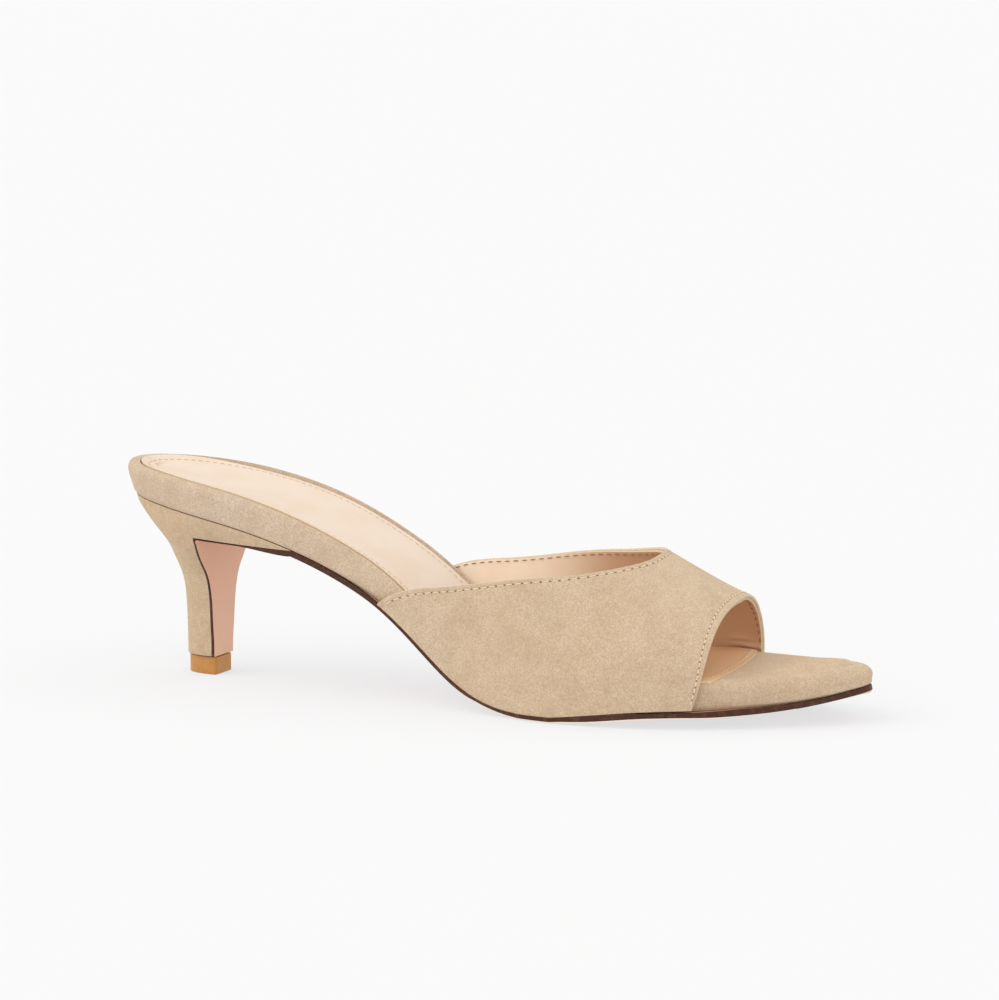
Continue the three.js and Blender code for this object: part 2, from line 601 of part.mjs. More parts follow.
function heelGeometry() {
  const ROUND = 12;
  const OUT = 8;
  const UP = 20;
  const CORNER_ROW = UP * CORNER_SHARE;
  // The rows above the corner run on from the stem into the wing
  const outShares = evenShares(OUT).slice(1);
  const wall = (side) =>
    evenShares(UP).map((up, i) => {
      const row = evenShares(ROUND).map((round) => stemWall(round, up, side));
      return i < CORNER_ROW ? row : [...row, ...outShares.map((out) => wingWall(out, up, side))];
    });
  const lateral = wall(-1);
  const medial = wall(1);
  const quads = [];
  for (let i = 0; i < UP; i++) {
    const columns = i < CORNER_ROW ? ROUND : ROUND + OUT;
    for (let j = 0; j < columns; j++) {
      quads.push([lateral[i][j], lateral[i][j + 1], lateral[i + 1][j + 1], lateral[i + 1][j]]);
      quads.push([medial[i][j], medial[i + 1][j], medial[i + 1][j + 1], medial[i][j + 1]]);
    }
  }
  const breast = lateral.slice(0, CORNER_ROW).map((_, i) => [i, ROUND, i + 1, ROUND]);
  const underWing = outShares.map((_, j) => [CORNER_ROW, ROUND + j, CORNER_ROW, ROUND + j + 1]);
  for (const [i, j, nextI, nextJ] of [...breast, ...underWing]) {
    quads.push([lateral[i][j], medial[i][j], medial[nextI][nextJ], lateral[nextI][nextJ]]);
  }
  for (let j = 0; j < ROUND; j++) {
    quads.push([lateral[0][j], medial[0][j], medial[0][j + 1], lateral[0][j + 1]]);
  }
  for (let j = 0; j < ROUND + OUT; j++) {
    quads.push([lateral[UP][j], lateral[UP][j + 1], medial[UP][j + 1], medial[UP][j]]);
  }
  return closedGeometry(quads);
}

// Heel tip: the stem's own section, a little smaller
function liftGeometry() {
  const ROUND = 16;
  const half = stemHalf(LIFT_HEIGHT) - LIFT_SIDE_INSET;
  const faceX = breastX(LIFT_HEIGHT);
  const depth = faceX - stemBackX(LIFT_HEIGHT) - LIFT_INSET;
  const section = new THREE.Shape();
  section.moveTo(faceX + GAP + BREAST_THICKNESS, half);
  for (let i = 0; i <= ROUND; i++) {
    const angle = (Math.PI * i) / ROUND;
    section.lineTo(faceX - depth * Math.sin(angle), half * Math.cos(angle));
  }
  section.lineTo(faceX + GAP + BREAST_THICKNESS, -half);
  section.closePath();
  const geometry = new THREE.ExtrudeGeometry(section, { depth: LIFT_HEIGHT, bevelEnabled: false });
  geometry.deleteAttribute("normal");
  geometry.deleteAttribute("uv");
  return mergeVertices(geometry, 1e-3);
}

// Outsole: one leather from the toe tip under the arch and the heel's wing, then down the
// front of the heel. A rung has its glued and its worn face on both sides, and its belly.
function forefootRungs() {
  const TOE_TO_WING = 44;
  const STEP = 0.5;
  const ring = insetRing((at) => -(WALL_ROOM + WELT) * soleMargin(at));
  const gluedZ = (x) => featherZ(x / SHOE_LENGTH) - GAP;
  const corner = ([x, y]) => {
    const slope = (gluedZ(x + STEP) - gluedZ(x - STEP)) / (2 * STEP);
    const thickness = soleThickness(x / SHOE_LENGTH) * OUTSOLE_THICKNESS - GAP;
    const run = thickness / Math.hypot(1, slope);
    const glued = point(x, y, gluedZ(x));
    // The tread is ground flat where it would pass the floor
    return { glued, worn: point(x + slope * run, y, Math.max(glued.z - run, 0)) };
  };
  // Close together at the round toe tip, even under the arch
  const shares = evenShares(TOE_TO_WING).map((t) => {
    const eased = 1 - Math.cos((Math.PI / 2) * t);
    return lerp(1, WING_TIP, lerp(eased, t, t));
  });
  return shares.map((share) => ({
    lateral: corner(ring(share, -1)),
    medial: corner(ring(share, 1)),
    belly: share === 1 ? 0 : Math.max(soleBelly(share), 0) * OUTSOLE_THICKNESS,
  }));
}

// A rung of one height, between a glued and a worn line given as { x, z, half }, where half
// says how far the line reaches on one side.
function levelRung(glued, worn, belly) {
  const side = (sign) => ({
    glued: point(glued.x, sign * glued.half(sign), glued.z),
    worn: point(worn.x, sign * worn.half(sign), worn.z),
  });
  return { lateral: side(-1), medial: side(1), belly };
}

// Under the wing the leather is pared thinner towards the heel.
const PARED_SHARE = 0.625; // of the wing's length, over which it thins
const wingThickness = (share) =>
  lerp(soleThickness(WING_TIP) * OUTSOLE_THICKNESS - GAP, BREAST_THICKNESS, smooth(share / PARED_SHARE));

function wingRungs() {
  const UNDER_WING = 6;
  const filletX = BREAST_X + GAP + BREAST_THICKNESS + BREAST_FILLET;
  return evenShares(UNDER_WING)
    .slice(1)
    .map((share) => {
      const x = lerp(wingTipX, filletX, share);
      const half = (sign) => wingHalf(x, sign);
      const z = wingLowerZ(x) - GAP;
      const belly = soleBelly(WING_TIP) * OUTSOLE_THICKNESS * (1 - share);
      return levelRung({ x, z, half }, { x, z: z - wingThickness(share), half }, belly);
    });
}

function breastRungs() {
  const IN_CORNER = 5;
  const DOWN_BREAST = 10;
  const cornerZ = wingLowerZ(BREAST_X) - GAP;
  const sole = (z) => breastX(z) + GAP;
  const turn = (radius, x, z, angle) => ({
    x: x + radius * (1 + Math.cos(angle)),
    z: z - radius * (1 - Math.sin(angle)),
  });
  const rungs = [];
  for (let i = 1; i <= IN_CORNER; i++) {
    const angle = (Math.PI / 2) * (1 + i / IN_CORNER);
    const glued = turn(BREAST_CORNER, sole(BREAST_TOP), cornerZ, angle);
    const wornX = sole(BREAST_TOP) + BREAST_THICKNESS;
    const worn = turn(BREAST_FILLET, wornX, cornerZ - BREAST_THICKNESS, angle);
    const half = () => BREAST_HALF_WIDTH;
    const wornHalf = () => Math.min(BREAST_HALF_WIDTH, stemHalf(worn.z) + GAP);
    rungs.push(levelRung({ ...glued, half }, { ...worn, half: wornHalf }, 0));
  }
  const topZ = cornerZ - BREAST_THICKNESS - BREAST_FILLET;
  for (let i = 1; i <= DOWN_BREAST; i++) {
    const z = lerp(topZ, LIFT_HEIGHT + GAP, i / DOWN_BREAST);
    const half = () => stemHalf(z);
    const x = sole(z);
    rungs.push(levelRung({ x, z, half }, { x: x + BREAST_THICKNESS, z, half }, 0));
  }
  return rungs;
}

function outsoleGeometry() {
  const ACROSS = 6;
  const EDGE_DRAFT = 0.35; // the trimmed edge slopes in towards the floor
  const rungs = [...forefootRungs(), ...wingRungs(), ...breastRungs()];
  const glued = rungs.map(({ lateral, medial }) =>
    evenShares(ACROSS).map((t) => lateral.glued.clone().lerp(medial.glued, t)),
  );
  const worn = rungs.map(({ lateral, medial, belly }) => {
    const near = lateral.worn.clone();
    const far = medial.worn.clone();
    const draft = Math.min(EDGE_DRAFT, (far.y - near.y) / 4);
    near.y += draft;
    far.y -= draft;
    return evenShares(ACROSS).map((t) => {
      const place = near.clone().lerp(far, t);
      place.z = Math.max(place.z - 4 * t * (1 - t) * belly, 0);
      return place;
    });
  });
  return slab(worn, glued, { openStart: false });
}

function shoe() {
  const pieces = new THREE.Group();
  pieces.add(named("outsole", outsoleGeometry(), 0xd3a58c, 0.45));
  pieces.add(named("heel_block", heelGeometry(), 0xcbb391, 0.95));
  pieces.add(named("top_lift", liftGeometry(), 0xb98240, 0.35));
  pieces.add(named("footbed", footbedGeometry(), 0xccb494, 0.95));
  pieces.add(named("insole_sock", sockGeometry(), 0xf0d6bd, 0.5));
  pieces.add(named("vamp", vampGeometry(), 0xcdb595, 0.95));

  // The part's origin is on the floor under the middle of the shoe's box
  const box = new THREE.Box3().setFromObject(pieces);
  const middle = box.getCenter(new THREE.Vector3());
  pieces.position.set(-middle.x, -middle.y, -box.min.z);
  return new THREE.Group().add(pieces);
}

export default shoe();
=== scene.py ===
"""Peep toe mule for the right foot, dressed for a product photograph.

Sizes are in millimetres in the shoe's own frame: x runs from the back of the seat to the toe tip,
y to the medial side (the side of the big toe) and z up from the floor. Meshes are handed to
Blender in metres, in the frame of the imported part. A station is a place along the shoe as a share
of its length.
"""

import logging
import math
from collections.abc import Callable, Sequence
from dataclasses import dataclass, field
from enum import Enum

import bpy
import bmesh
import numpy as np
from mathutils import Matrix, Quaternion, Vector


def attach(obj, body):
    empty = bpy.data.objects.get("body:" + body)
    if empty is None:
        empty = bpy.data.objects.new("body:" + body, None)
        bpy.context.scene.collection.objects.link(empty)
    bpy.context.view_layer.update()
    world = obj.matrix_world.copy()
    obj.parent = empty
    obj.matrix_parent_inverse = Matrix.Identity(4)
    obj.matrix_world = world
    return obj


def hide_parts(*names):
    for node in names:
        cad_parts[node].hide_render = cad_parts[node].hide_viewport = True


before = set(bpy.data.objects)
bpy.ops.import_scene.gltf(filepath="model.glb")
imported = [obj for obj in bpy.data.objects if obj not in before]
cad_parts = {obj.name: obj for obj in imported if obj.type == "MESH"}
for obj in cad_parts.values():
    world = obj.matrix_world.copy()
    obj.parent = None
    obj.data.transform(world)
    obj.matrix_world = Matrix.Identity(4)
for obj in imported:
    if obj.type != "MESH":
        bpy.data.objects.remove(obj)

LOG = logging.getLogger("mule")

Array = np.ndarray
Curve = Callable[[Array], Array]
Node = bpy.types.Node
Tree = bpy.types.NodeTree
Socket = bpy.types.NodeSocket
Material = bpy.types.Material
Piece = bpy.types.Object

MM = 0.001
LATERAL, MEDIAL = -1, 1
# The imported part's origin is on the floor under the middle of the shoe's box.
ORIGIN = np.array([119.70, 1.1355, 0.0])


# Numbers and curves


def lerp(a: Array | float, b: Array | float, t: Array | float) -> Array:
    """Returns the value at share t of the way from a to b."""
    return a + (b - a) * t


def smooth(t: Array | float) -> Array:
    """Returns t eased at both ends, held between 0 and 1."""
    t = np.clip(t, 0.0, 1.0)
    return t * t * (3 - 2 * t)


def bell(value: Array | float, centre: Array | float, width: float) -> Array:
    """Returns a soft hump of height 1 round a centre."""
    return np.exp(-(((value - centre) / width) ** 2))


def even(count: int) -> Array:
    """Returns count + 1 shares from 0 to 1, evenly spaced."""
    return np.linspace(0.0, 1.0, count + 1)


def cosine(count: int) -> Array:
    """Returns count + 1 shares from 0 to 1, close together at both ends."""
    return (1 - np.cos(np.pi * even(count))) / 2


def natural_spline(x: Sequence[float], y: Sequence[float]) -> Curve:
    """Makes a natural cubic spline.

    Args:
        x: rising places.
        y: value at each place.

    Returns:
        A function from places, held inside the table, to values.
    """
    x, y = np.asarray(x, float), np.asarray(y, float)
    h = np.diff(x)
    n = len(x)
    system, slope = np.eye(n), np.zeros(n)
    for i in range(1, n - 1):
        system[i, i - 1 : i + 2] = h[i - 1], 2 * (h[i - 1] + h[i]), h[i]
        slope[i] = 6 * ((y[i + 1] - y[i]) / h[i] - (y[i] - y[i - 1]) / h[i - 1])
    bend = np.linalg.solve(system, slope)

    def value(q: Array) -> Array:
        """Returns the spline's value."""
        q = np.clip(q, x[0], x[-1])
        k = np.clip(np.searchsorted(x, q, side="right") - 1, 0, n - 2)
        a, b = (x[k + 1] - q) / h[k], (q - x[k]) / h[k]
        cubic = ((a**3 - a) * bend[k] + (b**3 - b) * bend[k + 1]) * h[k] ** 2 / 6
        return a * y[k] + b * y[k + 1] + cubic

    return value


def columns(table: Sequence[Sequence[float]]) -> list[Curve]:
    """Returns a spline over the first column for each other column of a table."""
    place, *values = zip(*table)
    return [natural_spline(place, value) for value in values]


# The last's shape


class InsetEdge:
    """One side of the shoe's outline, moved inwards."""

    def __init__(self, form: "ShoeForm", side: int, inset: Curve | float) -> None:
        """Samples the moved outline.

        Args:
            form: the shoe.
            side: LATERAL or MEDIAL.
            inset: distance to move inwards, as one number or by station.
        """
        samples, step = 1400, 1e-4
        at = cosine(samples)

        def edge(q: Array) -> Array:
            """Returns the outline's x and y at stations."""
            return np.stack([q * form.length, form.centre_y(q) + side * form.half_width(q, side)])

        low, high = edge(np.maximum(at - step, 0)), edge(np.minimum(at + step, 1))
        run = high - low
        normal = np.stack([-side * run[1], side * run[0]]) / np.hypot(*run)
        normal[:, 0], normal[:, -1] = (-1, 0), (1, 0)
        x, y = edge(at) - normal * (inset(at) if callable(inset) else inset)
        rising = x > np.maximum.accumulate(np.concatenate([[-np.inf], x[:-1]]))
        self._x, self._y = x[rising], y[rising]
        self.start, self.end = self._x[0], self._x[-1]

    def y(self, x: Array) -> Array:
        """Returns the edge's y at places along the shoe."""
        return np.interp(x, self._x, self._y)


@dataclass(frozen=True)
class ShoeForm:
    """The last and the sizes that every piece of the shoe shares."""

    length: float = 239.4
    ball_width: float = 66.0
    seat_height: float = 56.0
    ball_height: float = 1.9
    toe_spring: float = 9.4
    toe_swing: float = 8.5
    swing_start: float = 0.6
    swing_power: float = 1.5
    gap: float = 0.3
    footbed_thickness: float = 9.4
    edge_radius_full: float = 2.2
    bed_step: float = 0.7
    wing_tip: float = 0.276
    seat_draft_back: float = 2.3
    seat_draft_waist: float = 0.4
    seat_room: float = 0.9  # how much further in the sock lies at the back of the seat
    seat_end: float = 0.05  # station where that room has faded out
    hang_start: float = 0.745  # station where the toe pad's suede starts to hang over the welt
    pad_hang: float = 0.3  # how far it hangs
    ball_hang: float = 0.42  # and how much further in front of the vamp
    # station, lateral and medial half width as shares of the ball width
    outline: tuple = (
        (0.0, 0.0, 0.0), (0.02, 0.174, 0.182), (0.06, 0.28, 0.291), (0.12, 0.362, 0.358),
        (0.18, 0.382, 0.37), (0.3, 0.364, 0.338), (0.4, 0.348, 0.297), (0.5, 0.385, 0.328),
        (0.6, 0.465, 0.421), (0.68, 0.502, 0.493), (0.75, 0.488, 0.495), (0.82, 0.424, 0.439),
        (0.88, 0.334, 0.371), (0.94, 0.224, 0.262), (0.975, 0.14, 0.155), (1.0, 0.0, 0.0),
    )  # fmt: skip
    # station, share of the drop from the seat to the ball
    seat_curve: tuple = (
        (0.0, 1.0), (0.06, 0.971), (0.12, 0.937), (0.18, 0.891), (0.25, 0.813), (0.3, 0.734),
        (0.35, 0.634), (0.4, 0.508), (0.45, 0.335), (0.5, 0.155), (0.54, 0.058), (0.58, 0.012),
        (0.608, 0.0),
    )  # fmt: skip
    # station, share of the toe spring
    toe_curve: tuple = (
        (0.648, 0.0), (0.7, 0.17), (0.75, 0.32), (0.82, 0.42), (0.9, 0.53), (0.95, 0.705), (1.0, 1.0),
    )  # fmt: skip
    # station, then rim height, depth of the sock's bed and crown of the bed as shares of the
    # footbed's thickness, edge radius as a share of the full one, and stepped: 1 where the sock
    # lies in a bed and 0 where it reaches the vamp's wall
    footbed: tuple = (
        (0.0, 1.07, 0.22, -0.1, 1.0, 1.0), (0.2, 1.06, 0.2, -0.08, 0.95, 1.0),
        (0.3, 1.03, 0.18, -0.04, 0.75, 1.0), (0.4, 1.02, 0.16, 0.0, 0.7, 1.0),
        (0.45, 1.0, 0.13, 0.03, 0.7, 1.0), (0.5, 0.94, 0.06, 0.06, 0.7, 1.0),
        (0.54, 0.89, 0.0, 0.08, 0.7, 1.0), (0.58, 0.86, 0.0, 0.09, 0.7, 0.4),
        (0.7, 0.86, 0.0, 0.1, 0.8, 0.0), (0.8, 0.88, 0.0, 0.07, 1.1, 0.0),
        (0.85, 0.88, 0.0, 0.07, 1.5, 0.0), (0.9, 0.86, 0.0, 0.13, 1.9, 0.0),
        (0.95, 0.8, 0.0, 0.15, 2.0, 0.0), (1.0, 0.64, 0.0, 0.08, 2.0, 0.0),
    )  # fmt: skip
    _curves: dict = field(default_factory=dict)

    def __post_init__(self) -> None:
        """Makes the splines once."""
        squared = [(at, lateral**2, medial**2) for at, lateral, medial in self.outline]
        self._curves["outline"] = columns(squared)
        self._curves["seat"] = columns(self.seat_curve)[0]
        self._curves["toe"] = columns(self.toe_curve)[0]
        self._curves["footbed"] = columns(self.footbed)

    def centre_y(self, at: Array) -> Array:
        """Returns the centre line's y."""
        swing = np.clip((at - self.swing_start) / (1 - self.swing_start), 0, 1)
        return self.toe_swing * swing**self.swing_power

    def half_width(self, at: Array, side: Array | int) -> Array:
        """Returns the footbed's half width on one side, or on a side for each station."""
        lateral, medial = self._curves["outline"]
        squared = np.where(np.asarray(side) < 0, lateral(at), medial(at))
        return self.ball_width * np.sqrt(np.maximum(squared, 0))

    def feather_z(self, at: Array) -> Array:
        """Returns the height of the footbed's underside."""
        seat = np.maximum(self._curves["seat"](at), 0) * (self.seat_height - self.ball_height)
        return self.ball_height + seat + np.maximum(self._curves["toe"](at), 0) * self.toe_spring

    def feather_slope(self, x: Array) -> Array:
        """Returns the slope of the footbed's underside at places along the shoe."""
        step = 0.5
        ahead, behind = self.feather_z((x + step) / self.length), self.feather_z((x - step) / self.length)
        return (ahead - behind) / (2 * step)

    def rim_z(self, at: Array) -> Array:
        """Returns the height of the rim's crest."""
        return self.feather_z(at) + self._curves["footbed"][0](at) * self.footbed_thickness

    def bed_z(self, at: Array, across: Array | float) -> Array:
        """Returns the height of the sock's bed; across is -1 and 1 at its edges."""
        _, bed, crown, _, _ = self._curves["footbed"]
        rise = crown(at) * (1 - np.square(across)) - np.maximum(bed(at), 0)
        return self.rim_z(at) + rise * self.footbed_thickness

    def edge_radius(self, at: Array) -> Array:
        """Returns the rounding of the rim's top edge."""
        return self._curves["footbed"][3](at) * self.edge_radius_full

    def sag(self, at: Array) -> Array:
        """Returns how far the suede of the toe pad hangs over the sole's welt."""
        past = at - self.hang_start
        pad = self.pad_hang * smooth(past / 0.03) * (1 - 0.5 * smooth((at - 0.96) / 0.03))
        return pad + self.ball_hang * bell(at, 0.81, 0.045) * smooth(past / 0.02)

    def stepped(self, at: Array) -> Array:
        """Returns 1 where the sock lies in a bed, fading to 0 under the vamp."""
        return np.clip(self._curves["footbed"][4](at), 0, 1)

    def back_room(self, at: Array) -> Array:
        """Returns how much further in the sock lies round the back of the seat."""
        return self.seat_room * (1 - smooth(at / self.seat_end))

    def seat_draft(self, at: Array) -> Array:
        """Returns how far the rim slopes in from its widest line to the heel."""
        return lerp(self.seat_draft_back, self.seat_draft_waist, smooth(at / self.wing_tip))

    def top_z(self, at: Array, inset: Array) -> Array:
        """Returns the height of the footbed's top at a distance inside its edge."""
        radius = self.edge_radius(at)
        feather, rim = self.feather_z(at), self.rim_z(at)
        share = inset / radius
        low = lerp(0.7, 0.91, np.clip(share / 0.3, 0, 1))
        level = np.where(share < 0.3, low, lerp(0.91, 1.0, np.clip((share - 0.3) / 0.7, 0, 1)))
        step = np.clip((inset - radius) / self.bed_step, 0, 1)
        return np.where(share < 1, lerp(feather, rim, level), lerp(rim, self.bed_z(at, 1.0), step))


# Meshes


class Draft:
    """Points and faces of one piece, gathered part by part."""

    def __init__(self) -> None:
        """Starts with nothing."""
        self._points: list[Array] = []
        self._faces: list[list[int]] = []
        self._paint: list[int] = []
        self._count = 0

    def points(self, grid: Array) -> Array:
        """Adds a grid of points and returns its grid of indices."""
        flat = grid.reshape(-1, 3)
        index = np.arange(self._count, self._count + len(flat)).reshape(grid.shape[:-1])
        self._points.append(flat)
        self._count += len(flat)
        return index

    def skin(self, index: Array, paint: Array | int = 0) -> None:
        """Adds the quads of a grid of indices.

        Args:
            index: rows and columns of point indices.
            paint: material number of every quad, or of the quads after each column.
        """
        quads = np.stack([index[:-1, :-1], index[1:, :-1], index[1:, 1:], index[:-1, 1:]], -1)
        shape = quads.shape[:2]
        self._faces += quads.reshape(-1, 4).tolist()
        self._paint += np.broadcast_to(paint, shape).reshape(-1).tolist()

    def tube(self, grid: Array, paint: Array | int = 0) -> Array:
        """Adds an open tube, each row of points running once round it, and returns its indices."""
        index = self.points(grid)
        self.skin(np.concatenate([index, index[:, :1]], 1), paint)
        return index

    def loop(self, grid: Array, paint: Array | int = 0, cap: Array | int = 0) -> None:
        """Adds a closed tube whose rows are its sections.

        Args:
            grid: rows of points, each row running round the section. Point k faces point
                count - 1 - k, so that flat sections close with a strip.
            paint: material number, or one for each column.
            cap: material number of both ends.
        """
        index = self.tube(grid, paint)
        half = index.shape[1] // 2
        for end in (index[0], index[-1]):
            self.skin(np.stack([end[:half], end[::-1][:half]]), cap)

    def fill(self, ring: Sequence[int], paint: int = 0) -> None:
        """Adds one face round a ring of indices."""
        self._faces.append([int(i) for i in ring])
        self._paint.append(paint)

    def piece(self, name: str, materials: Sequence[Material], sharp: float = 38.0) -> Piece:
        """Makes the Blender object.

        Args:
            name: the piece's name.
            materials: materials by number.
            sharp: edges that turn by more than this many degrees stay sharp.

        Returns:
            The object, linked to the scene.
        """
        mesh = bpy.data.meshes.new(name)
        points = (np.concatenate(self._points) - ORIGIN) * MM
        mesh.from_pydata(points.tolist(), [], self._faces)
        for material in materials:
            mesh.materials.append(material)
        mesh.polygons.foreach_set("material_index", self._paint)
        work = bmesh.new()
        work.from_mesh(mesh)
        bmesh.ops.remove_doubles(work, verts=work.verts, dist=2e-6)
        bmesh.ops.dissolve_degenerate(work, edges=work.edges, dist=1e-7)
        bmesh.ops.recalc_face_normals(work, faces=work.faces)
        work.to_mesh(mesh)
        work.free()
        mesh.shade_smooth()
        mesh.set_sharp_from_angle(angle=math.radians(sharp))
        made = bpy.data.objects.new(name, mesh)
        bpy.context.scene.collection.objects.link(made)
        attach(made, "root")
        LOG.info("piece %s: %d faces", name, len(mesh.polygons))
        return made


@dataclass(frozen=True)
class Line:
    """A line on a surface, with the surface's normals."""

    points: Array
    normals: Array

    @classmethod
    def level(cls, points: Array) -> "Line":
        """Makes a line on a level surface."""
        return cls(points, np.tile([0.0, 0.0, 1.0], (len(points), 1)))

    def at(self, places: Array) -> tuple[Array, Array, Array]:
        """Finds points at distances along the line.

        Args:
            places: distances from its start.

        Returns:
            Points, tangents and normals.
        """
        run = np.concatenate([[0], np.cumsum(np.linalg.norm(np.diff(self.points, axis=0), axis=1))])

        def read(values: Array, where: Array) -> Array:
            """Returns values interpolated along the line."""
            return np.stack([np.interp(where, run, values[:, k]) for k in range(3)], -1)

        ahead, behind = read(self.points, places + 0.4), read(self.points, places - 0.4)
        tangents = ahead - behind
        tangents /= np.linalg.norm(tangents, axis=1, keepdims=True)
        normals = read(self.normals, places)
        normals -= tangents * np.sum(normals * tangents, 1, keepdims=True)
        normals /= np.linalg.norm(normals, axis=1, keepdims=True)
        return read(self.points, places), tangents, normals

    @property
    def length(self) -> float:
        """The line's length."""
        return float(np.sum(np.linalg.norm(np.diff(self.points, axis=0), axis=1)))


@dataclass(frozen=True)
class StitchRow:
    """Lockstitches along a line: short lengths of thread between needle holes."""

    pitch: float = 2.8
    stitch: float = 2.05  # length of thread that shows
    thread: float = 0.42  # and its width
    hole: float = 0.62  # length of a needle hole
    sunk: float = 0.07  # half the height of a hole's dark bead, the painted shade of the needle hole
    rise: float = 0.1  # how far the thread stands out
    slant: float = 0.0  # turn of each stitch out of the row, in degrees
    start: float = 1.5  # bare ends of the line
    end: float = 1.5
    rings: int = 6
    sides: int = 8

    def _beads(self, draft: Draft, centre: Array, axes: tuple[Array, ...], size: Sequence[float]) -> None:
        """Adds one small closed lozenge at each centre.

        Args:
            draft: where to add them.
            centre: middle points.
            axes: directions of the length, the width and the height of each.
            size: half length, half width and half height.
        """
        u = np.cos(np.pi * even(self.rings))[:, None]
        width = (1 - u**4) ** 0.5
        turn = 2 * np.pi * np.arange(self.sides) / self.sides
        for middle, a, b, c in zip(centre, *axes):
            aside = (width * np.cos(turn) * size[1])[..., None]
            out = (width * np.sin(turn) * size[2] - u**2 * self.rise)[..., None]
            draft.tube(middle + a * (u * size[0])[..., None] + b * aside + c * out)

    def sew(self, threads: Draft, line: Line, hole_shades: Draft | None = None) -> None:
        """Sews the row.

        Args:
            threads: where to add the thread.
            line: the line on the leather.
            hole_shades: where to add the needle holes as dark beads of painted shade, if they show.
        """
        count = int((line.length - self.start - self.end) / self.pitch)
        places = self.start + self.pitch * (np.arange(count) + 0.5)
        centre, tangent, normal = line.at(places)
        centre = centre + normal * self.rise
        aside = np.cross(normal, tangent)
        lean = math.radians(self.slant)
        along = tangent * math.cos(lean) + aside * math.sin(lean)
        size = self.stitch / 2, self.thread / 2, self.thread / 2
        self._beads(threads, centre, (along, np.cross(normal, along), normal), size)
        # The needle holes are dark beads on the leather: painted shade
        if hole_shades is not None:
            end = along * ((self.stitch if self.slant else self.pitch) / 2)
            size = self.hole / 2, self.hole / 3.4, self.sunk
            self._beads(hole_shades, centre + end, (tangent, aside, normal), size)


# Finishes


def srgb(hexadecimal: str) -> tuple[float, float, float, float]:
    """Turns a colour such as "cdb595" to linear light.

    Args:
        hexadecimal: red, green and blue, two digits each.

    Returns:
        Linear red, green, blue and 1.
    """
    parts = [int(hexadecimal[i : i + 2], 16) / 255 for i in (0, 2, 4)]
    return (*[c / 12.92 if c <= 0.04045 else ((c + 0.055) / 1.055) ** 2.4 for c in parts], 1.0)


def per_metre(size: float) -> float:
    """Returns the texture scale that gives a pattern of a size in millimetres."""
    return 1 / (size * MM)


def add_node(tree: Tree, kind: str, settings: dict) -> Node:
    """Adds a node with its settings and links.

    Args:
        tree: the material's node tree.
        kind: the node's type.
        settings: a value, a hexadecimal colour or a socket to link from, by the name of a
            property or by the name or number of an input.

    Returns:
        The new node.
    """
    node = tree.nodes.new(kind)
    for name, value in settings.items():
        if isinstance(name, str) and name not in node.inputs:
            setattr(node, name, value)
        elif isinstance(value, Socket):
            tree.links.new(value, node.inputs[name])
        else:
            node.inputs[name].default_value = srgb(value) if isinstance(value, str) else value
    return node


MIX_FACTOR, MIX_A, MIX_B, MIX_RESULT = 0, 6, 7, 2
RANGE_VALUE, RANGE_LOW, RANGE_HIGH, RANGE_TOP = 0, 1, 2, 4


@dataclass(frozen=True)
class Cloud:
    """A colour that comes and goes over another in a soft pattern."""

    colour: str
    size_mm: float
    low: float  # the pattern's value where the colour starts to show
    high: float  # and where it shows in full
    depth: float = 1.0  # how much of what lies below it covers there
    detail: float = 2.0
    roughness: float = 0.5
    distortion: float = 0.0


